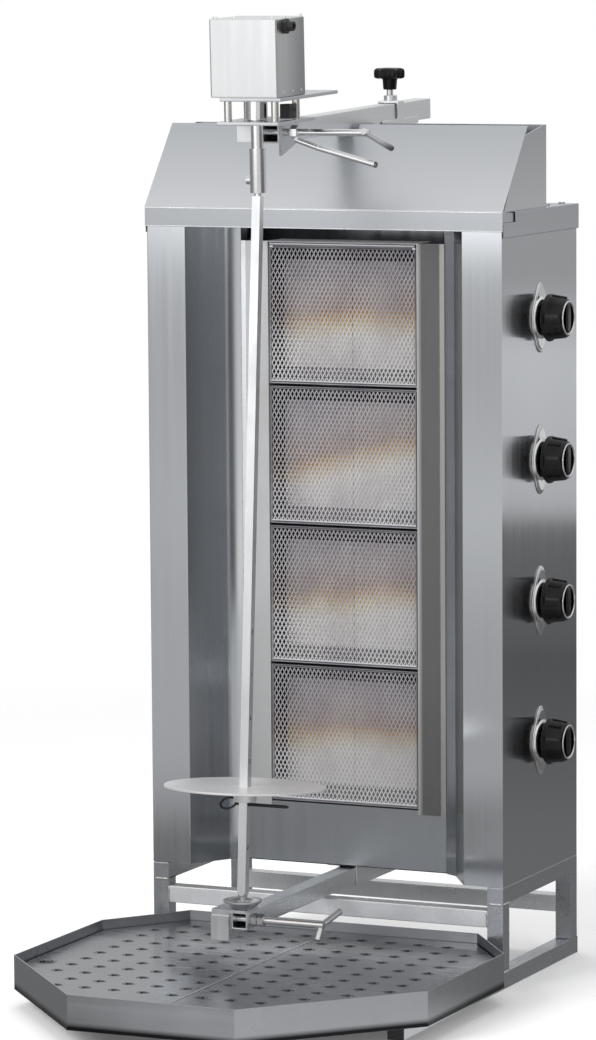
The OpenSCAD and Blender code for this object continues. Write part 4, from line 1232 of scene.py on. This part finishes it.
@dataclass
class DriveUnit:
    """Upper arm, its bracket and clamp, and the motor with its covers."""

    slope: float = 1.9
    cover_size: tuple[float, float, float] = (0.083, 0.076, 0.091)
    cover_skin: float = 0.0008
    tab_height: float = 0.0028
    tab_half: tuple[float, float] = (0.0016, 0.0009)
    tabs: Pairs = ((-0.90, -0.94), (-0.80, -0.94), (-0.25, -0.94), (0.86, -0.94), (0.95, -0.30),
                   (0.95, 0.85))
    rivets: tuple[float, ...] = (-0.55, 0.1, 0.7)
    star_share: float = 0.92
    star_lobes: int = 7
    star_head: Pairs = ((0.0135, 0.80), (0.0125, 0.95), (0.0105, 1.0), (0.0045, 1.0),
                        (0.0022, 0.95), (0.0010, 0.80), (0.0006, 0.5), (0.0012, 0.40))
    star_hub: Pairs = ((0.0265, 0.0072), (0.0255, 0.0080), (0.0150, 0.0088), (0.0120, 0.0100))
    stud_gap: float = 0.0262
    thread: float = 0.00125
    thread_radii: tuple[float, float] = (0.0036, 0.0041)
    terminal_front: float = -0.088
    terminal_inset: float = 0.013
    terminal_size: tuple[float, float] = (0.012, 0.020)
    terminal_pitch: float = 0.0065

    def build(self) -> None:
        """Dresses the drive and builds the motor cover, star knob and terminal block."""
        dress(Finish.ARM, 0.0009, "arm_bracket", "upper_arm")
        dress(Finish.PLATE, 0.0005, "motor_carrier", "motor_plate")
        dress(Finish.COVER, 0.0006, "upper_clamp_jaw")
        dress(Finish.BRIGHT, 0.0004, "standoffs")
        dress(Finish.CROSSBAR, 0.0004, "upper_clamp_screw")
        dress(Finish.HANDLE, 0.0004, "lock_lever")
        dress(Finish.CHROME, 0.0006, "gearbox")
        dress(Finish.DARK, 0.0006, "motor")
        dress(Finish.RUBBER, 0.0007, "cable_gland")
        dress(Finish.CHROME, 0.0006, "drive_socket")
        self.cover()
        self.star_knob()
        self.terminal_block()

    def cover(self) -> None:
        """Builds the motor cover: a bent shell, its side plates, its tabs and rivets, its lip."""
        wide, deep, tall = (size / 2 for size in self.cover_size)
        skin, top = self.cover_skin, tall - self.tab_height
        shell, sides, trim, lip = Builder(), Builder(), Builder(), Builder()
        shell.block((-wide + skin, -deep, -tall), (wide - skin, deep, top))
        for x in (-wide, wide - skin):
            sides.block((x, -deep + 0.0014, -tall + 0.0004),
                        (x + skin, deep - 0.0010, top - 0.0012))
        half_x, half_y = self.tab_half
        for x, y in self.tabs:
            trim.block((x * wide - half_x, y * deep - half_y, top - 0.0012),
                       (x * wide + half_x, y * deep + half_y, tall - 0.0004))
        for y in self.rivets:
            trim.lathe(Vector((wide - skin * 0.6, y * deep, -tall + 0.006)), RIGHT,
                       [(0.0, 0.0020), (0.0005, 0.0019), (0.0008, 0.0011)], 18)
        lip.block((-wide + 0.0012, -deep + 0.0003, -tall),
                  (wide - 0.0012, -deep + 0.0016, -tall + 0.0028))
        middle = sum(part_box("motor_cover"), Vector()) / 2
        turn = Matrix.Translation(middle) @ Matrix.Rotation(math.radians(self.slope), 4, "X")
        for name, part, finish, bevel, segments in (
                ("cover_shell", shell, Finish.COVER, 0.0016, 4),
                ("cover_sides", sides, Finish.COVER_SIDE, 0.0004, 2),
                ("cover_tabs", trim, Finish.COVER, 0.0003, 2),
                ("cover_lip", lip, Finish.COVER, 0.0003, 2)):
            part.points = [turn @ point for point in part.points]
            part.piece(name, "upper_arm", "cover_steel", [finish], bevel, segments,
                       instead="motor_cover")

    def star_knob(self) -> None:
        """Builds the clamp knob: seven rounded lobes on a black hub, on a bright threaded stud."""
        node = "star_knob"
        low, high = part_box(node)
        centre = Vector(((low.x + high.x) / 2, (low.y + high.y) / 2, low.z))
        tall = high.z - low.z
        reach = (high.x - low.x) / 2 * self.star_share
        head = Builder()
        head.lathe(centre, UP, [(tall - down, reach * share) for down, share in self.star_head],
                   112, 0, lambda angle: 0.90 + 0.10 * math.cos(self.star_lobes * angle))
        head.lathe(centre, UP, [(tall - down, radius) for down, radius in self.star_hub], 48)
        head.piece(f"{node}_head", node, "black_plastic", [Finish.BLACK], instead=node)
        length = tall - self.stud_gap
        steps = 2 * max(2, int(length / self.thread))
        stud = Builder()
        stud.lathe(centre, UP, [(length * i / steps, self.thread_radii[i % 2])
                                for i in range(steps + 1)], 32)
        stud.piece(f"{node}_stud", node, "chrome", [Finish.BRIGHT], instead=node)

    def terminal_block(self) -> None:
        """Adds the small terminal block between the carrier and the motor plate."""
        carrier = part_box("motor_carrier")[1]
        x0, y0 = carrier.x - self.terminal_inset, self.terminal_front
        z0, z1 = carrier.z - 0.0002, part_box("motor_plate")[0].z + 0.0006
        wide, deep = self.terminal_size
        builder = Builder()
        builder.block((x0, y0, z0), (x0 + wide, y0 + deep, z1 - 0.004))
        for step in range(3):
            y = y0 + 0.0035 + self.terminal_pitch * step
            builder.lathe(Vector((x0 + wide - 0.001, y, (z0 + z1) / 2)), RIGHT,
                          [(0.0, 0.0022), (0.0014, 0.0022), (0.0018, 0.0016)], 16)
        builder.piece("terminal_block", "upper_arm", "black_plastic", [Finish.RUBBER], 0.0005)


@dataclass
class SpitAssembly:
    """The spit, the meat disc, the lock pin and the arm that bears them."""

    eye_radius: float = 0.0092
    eye_tilt: float = 34.0
    eye_steps: int = 40
    wire: float = 0.0013
    bar: float = 0.0019

    def build(self) -> None:
        """Dresses the spit and its bearing."""
        dress(Finish.SPIT, 0.0006, "spit")
        dress(Finish.DISC, 0.0004, "meat_disc")
        dress(Finish.ARM, 0.0008, "lower_arm", "lower_guide")
        dress(Finish.COVER, 0.0006, "bearing_carrier")
        dress(Finish.BRIGHT, 0.0004, "lower_clamp_screw")
        self.lock_pin()
        dress(Finish.PLATE, 0.0004, "drip_cup")

    def lock_pin(self) -> None:
        """Builds the pin through the spit: a thin bar with a tilted ring at its left end."""
        low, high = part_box("lock_pin")
        _, depth, level = (low + high) / 2
        eye = Vector((low.x + self.eye_radius + self.wire, depth, level))
        tilt = math.radians(self.eye_tilt)
        start = eye + RIGHT * self.eye_radius
        length = high.x - 0.0006 - start.x
        builder = Builder()
        builder.hoop(circle(eye, RIGHT, Vector((0, math.cos(tilt), math.sin(tilt))),
                            self.eye_radius, self.eye_steps), self.wire, 12)
        builder.lathe(start, RIGHT, [(0.0, self.wire), (0.004, self.bar),
                                     (length - 0.003, self.bar), (length, self.bar * 0.45)], 24)
        builder.piece("lock_pin_bar", "lock_pin", "dark_steel", [Finish.DARK], instead="lock_pin")


@dataclass
class Tray:
    """The drip tray and its two perforated inserts."""

    hole_reach: float = 0.0075
    hole_points: int = 12
    rim: Pairs = ((0.0016, 0.00002), (0.0010, 0.00022), (0.0002, 0.00010), (-0.0002, -0.0006))
    lip_radius: float = 0.0011
    lip_start: float = 0.004
    lip_short: float = 0.060

    def build(self) -> None:
        """Dresses the tray and adds the seam's lip and the rims of the drain holes."""
        dress(Finish.TRAY, 0.0006, "tray")
        self.seam_lip()
        for side in ("left", "right"):
            dress(Finish.INSERT, 0.0, f"tray_insert_{side}")
            self.hole_rims(side)

    def seam_lip(self) -> None:
        """Adds the bright hemmed lip along the left insert's inner edge."""
        low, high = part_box("tray_insert_left")
        radius = self.lip_radius
        place = Vector((high.x - radius, low.y + self.lip_start, high.z - radius * 0.4))
        builder = Builder()
        builder.pin(place, BACK, high.y - low.y - self.lip_short, radius, radius * 0.7, 0.001, 16)
        builder.piece("insert_seam_lip", "tray_insert_left", "tray_steel", [Finish.SPIT], 0.0001)

    def hole_rims(self, side: str) -> None:
        """Adds the pressed rim of each drain hole of one insert, dark so that the hole reads
        darker and wider: painted shade.

        Args:
            side: left or right.
        """
        node = f"tray_insert_{side}"
        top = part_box(node)[1].z
        holes: list[list[Vector]] = []
        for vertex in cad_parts[node].data.vertices:
            if abs(vertex.co.z - top) > 1e-5:
                continue
            home = next((hole for hole in holes if (hole[0] - vertex.co).length < self.hole_reach),
                        None)
            if home is None:
                holes.append([vertex.co.copy()])
            else:
                home.append(vertex.co.copy())
        builder = Builder()
        for hole in holes:
            centre = sum(hole, Vector()) / len(hole)
            radius = max((point - centre).length for point in hole)
            if len(hole) >= self.hole_points and radius <= self.hole_reach:
                builder.loft([circle(centre + UP * height, RIGHT, BACK, radius + out, 20)
                              for out, height in self.rim], capped=False)
        builder.piece(f"drain_rims_{side}", node, "tray_steel", [Finish.RIM])


# ---------- Studio ----------


@dataclass
class Studio:
    """Pale floor, soft light, reflected cards and the camera.

    A card is its azimuth and half width in degrees, and its levels by share of the room's height.
    """

    camera_at: tuple[float, float, float] = (2.324, -5.08366, 1.18521)
    yaw: float = math.radians(24.536)
    pitch: float = math.radians(6.5015)
    roll: float = -0.0068
    lens: float = 169.44
    sensor: float = 36.0
    clip: tuple[float, float] = (0.1, 40.0)
    floor_radius: float = 2.6
    floor_colour: Colour = (0.84, 0.84, 0.84, 1.0)
    floor_glow: float = 0.10
    room_radius: float = 3.0
    room_height: float = 3.2
    room_sides: int = 96
    ambient: float = 0.62
    plain_levels: Pairs = ((0.0, 0.46), (0.12, 0.50), (0.25, 0.58), (0.5, 0.70), (1.0, 0.92))
    cards: tuple[tuple[float, float, Pairs], ...] = (
        (180, 50, ((0.0, 0.20), (0.15, 0.24), (0.35, 0.30), (0.6, 0.8), (1.0, 0.92))),
        (8, 46, ((0.0, 0.10), (0.15, 0.10), (0.35, 0.30), (0.6, 0.8), (1.0, 0.92))),
        (65, 44, ((0.0, 0.15), (0.067, 0.19), (0.075, 0.66), (0.16, 0.80), (0.20, 0.46),
                  (0.5, 0.6), (1.0, 0.92))),
        (262, 30, ((0.0, 0.60), (0.06, 0.80), (0.15, 0.62), (0.20, 0.66), (0.228, 2.0),
                   (0.45, 1.9), (0.6, 0.9), (1.0, 0.92))),
        (310, 26, ((0.0, 1.0), (0.06, 0.92), (0.13, 0.80), (0.25, 0.72), (0.6, 0.8),
                   (1.0, 0.92))),
        (114, 24, ((0.0, 0.34), (0.1, 0.44), (0.3, 0.70), (0.6, 0.85), (1.0, 0.92))))
    pale_ground: Pairs = ((0.0, 0.80), (0.20, 0.74), (0.4, 0.66), (1.0, 0.66))
    dark_ground: Pairs = ((0.0, 0.22), (0.4, 0.20), (0.7, 0.15), (1.0, 0.12))
    dark_side: float = 65 / 360
    front_side: float = -52 / 360
    lamp_plans: tuple = (("key_lamp", (-1.7, -3.0, 2.3), (0.0, 0.0, 0.6), 2.2, 122.0),
                         ("fill_lamp", (3.0, -1.4, 1.6), (0.0, 0.1, 0.6), 1.8, 34.0),
                         ("top_lamp", (-0.3, 0.6, 3.2), (0.0, 0.0, 0.5), 2.0, 34.0))

    def build(self) -> None:
        """Makes the whole studio."""
        bpy.context.scene.view_settings.view_transform = "Standard"
        self.world()
        self.floor()
        self.room()
        self.lamps()
        self.camera()

    def seen(self, graph: Graph) -> Socket:
        """Tells the rays that show the background: camera, mirror and see-through rays.

        Args:
            graph: where the nodes are added.

        Returns:
            A socket that is 1 for those rays.
        """
        path = graph.add("LightPath").outputs
        either = graph.math("MAXIMUM", path["Is Camera Ray"], path["Is Glossy Ray"])
        return graph.math("MAXIMUM", either, path["Is Transmission Ray"])

    def world(self) -> None:
        """White where it is seen, soft grey where it lights."""
        world = bpy.data.worlds.new("studio_air")
        graph = bare(world)
        level = graph.spread(self.seen(graph), 0.0, 1.0, self.ambient, 1.0)
        shade = graph.add("Background", Color=(1, 1, 1, 1), Strength=level)
        graph.add("OutputWorld", Surface=shade.outputs[0])
        bpy.context.scene.world = world

    def staged(self, name: str, builder: Builder, material: bpy.types.Material) -> Thing:
        """Makes a stage object, which is no part of the broiler.

        Args:
            name: its name.
            builder: its shapes.
            material: what it wears.

        Returns:
            The object.
        """
        mesh = bpy.data.meshes.new(name)
        mesh.from_pydata([tuple(point) for point in builder.points], [], builder.faces)
        mesh.materials.append(material)
        thing = bpy.data.objects.new(name, mesh)
        bpy.context.scene.collection.objects.link(thing)
        return thing

    def floor(self) -> None:
        """A pale disc that fades out at its rim and keeps the shadow."""
        material = bpy.data.materials.new("pale_floor")
        graph = bare(material)
        diffuse = graph.add("BsdfDiffuse", Color=self.floor_colour)
        glow = graph.add("Emission", Color=(1, 1, 1, 1),
                         Strength=graph.times(self.seen(graph), self.floor_glow))
        lit = graph.add("AddShader", None, {0: diffuse.outputs[0], 1: glow.outputs[0]})
        away = graph.vector("LENGTH", graph.add("TexCoord").outputs["Object"]).outputs["Value"]
        fade = graph.spread(away, self.floor_radius * 0.5, self.floor_radius * 0.96)
        clear = graph.add("BsdfTransparent")
        mixed = graph.add("MixShader", None, {0: fade, 1: lit.outputs[0], 2: clear.outputs[0]})
        graph.add("OutputMaterial", Surface=mixed.outputs[0])
        builder = Builder()
        builder.add(circle(Vector(), RIGHT, BACK, self.floor_radius, 96), [tuple(range(96))])
        self.staged("floor", builder, material)

    def ground(self, graph: Graph, turn: Socket, away: Socket) -> Socket:
        """Gives the light of the room's floor: pale near the front, dark on one side.

        Args:
            graph: where the nodes are added.
            turn: the share of a turn round the room.
            away: the distance from its middle.

        Returns:
            The colour socket.
        """
        share = graph.math("DIVIDE", away, self.room_radius)
        dark = graph.math("ABSOLUTE", graph.math("SUBTRACT", turn, self.dark_side))
        front = graph.math("ABSOLUTE", graph.math("SUBTRACT", turn, self.front_side))
        lit = graph.math("MAXIMUM", graph.spread(front, 0.06, 0.17, 1.0, 0.30),
                         graph.spread(away, 0.7, 1.3, 0.0, 0.85))
        pale = graph.blend(1.0, graph.greys(share, self.pale_ground), lit, "MULTIPLY")
        return graph.blend(graph.spread(dark, 0.08, 0.2, 1.0, 0.0), pale,
                           graph.greys(share, self.dark_ground))

    def room(self) -> None:
        """A floor, a ring of cards and a ceiling that only metal sees."""
        material = bpy.data.materials.new("room_light")
        graph = bare(material)
        place = graph.add("TexCoord").outputs["Object"]
        east, north, up = graph.add("SeparateXYZ", Vector=place).outputs
        turn = graph.math("DIVIDE", graph.math("ARCTAN2", north, east), TURN)
        height = graph.math("DIVIDE", up, self.room_height)
        light = graph.greys(height, self.plain_levels)
        for azimuth, half, levels in self.cards:
            off = graph.math("SUBTRACT", turn, azimuth / 360)
            off = graph.math("ABSOLUTE", graph.math("SUBTRACT", off, graph.math("ROUND", off)))
            weight = graph.spread(off, half / 720, half / 360, 1.0, 0.0)
            light = graph.blend(weight, light, graph.greys(height, levels))
        away = graph.vector("LENGTH", graph.stretched(place, (1, 1, 0))).outputs["Value"]
        on_floor = graph.times(graph.math("LESS_THAN", up, 0.002),
                               graph.math("LESS_THAN", away, self.room_radius * 0.998))
        light = graph.blend(on_floor, light, self.ground(graph, turn, away))
        glow = graph.add("Emission", Color=light, Strength=1.0)
        graph.add("OutputMaterial", Surface=glow.outputs[0])
        count = self.room_sides
        foot, head = (circle(Vector((0, 0, z)), RIGHT, BACK, self.room_radius, count)
                      for z in (0.001, self.room_height))
        shell = Builder()
        shell.loft([foot, head], capped=False)
        shell.add(head, [tuple(range(count))])
        shell.add(foot, [tuple(range(count))])
        room = self.staged("reflected_room", shell, material)
        room.visible_camera = room.visible_diffuse = False
        room.visible_shadow = room.visible_transmission = False

    def lamps(self) -> None:
        """A large key lamp in front on the left, a fill on the right and a top lamp."""
        for name, where, target, size, power in self.lamp_plans:
            lamp = bpy.data.lights.new(name, "AREA")
            lamp.shape = "SQUARE"
            lamp.size = size
            lamp.energy = power
            thing = bpy.data.objects.new(name, lamp)
            thing.location = where
            look = Vector(target) - Vector(where)
            thing.rotation_euler = look.to_track_quat("-Z", "Y").to_euler()
            thing.visible_glossy = False
            bpy.context.scene.collection.objects.link(thing)

    def camera(self) -> None:
        """Sets the camera at its place, direction and roll."""
        level = math.cos(self.pitch)
        forward = Vector((-math.sin(self.yaw) * level, math.cos(self.yaw) * level,
                          -math.sin(self.pitch)))
        right = Vector((math.cos(self.yaw), math.sin(self.yaw), 0))
        up = right.cross(forward)
        tilted = right * math.cos(self.roll) + up * math.sin(self.roll)
        raised = up * math.cos(self.roll) - right * math.sin(self.roll)
        axes = Matrix((tilted, raised, -forward)).transposed()
        lens = bpy.data.cameras.new("camera")
        lens.lens = self.lens
        lens.sensor_width = self.sensor
        lens.clip_start, lens.clip_end = self.clip
        camera = bpy.data.objects.new("camera", lens)
        camera.matrix_world = Matrix.Translation(self.camera_at) @ axes.to_4x4()
        bpy.context.scene.collection.objects.link(camera)
        bpy.context.scene.camera = camera


def main() -> None:
    """Builds the studio and every sub-assembly."""
    logging.basicConfig(level=logging.INFO, format="%(name)s: %(message)s")
    for build_effect in (build_grain, build_smudge, build_edge, build_heat, build_pores):
        build_effect()
    for part in (Studio(), Cabinet(), Burners(), Knobs(), GasTrain(), DriveUnit(),
                 SpitAssembly(), Tray()):
        part.build()
        LOG.info("finished %s", type(part).__name__)
    bpy.context.view_layer.update()


if __name__ == "__main__":
    main()
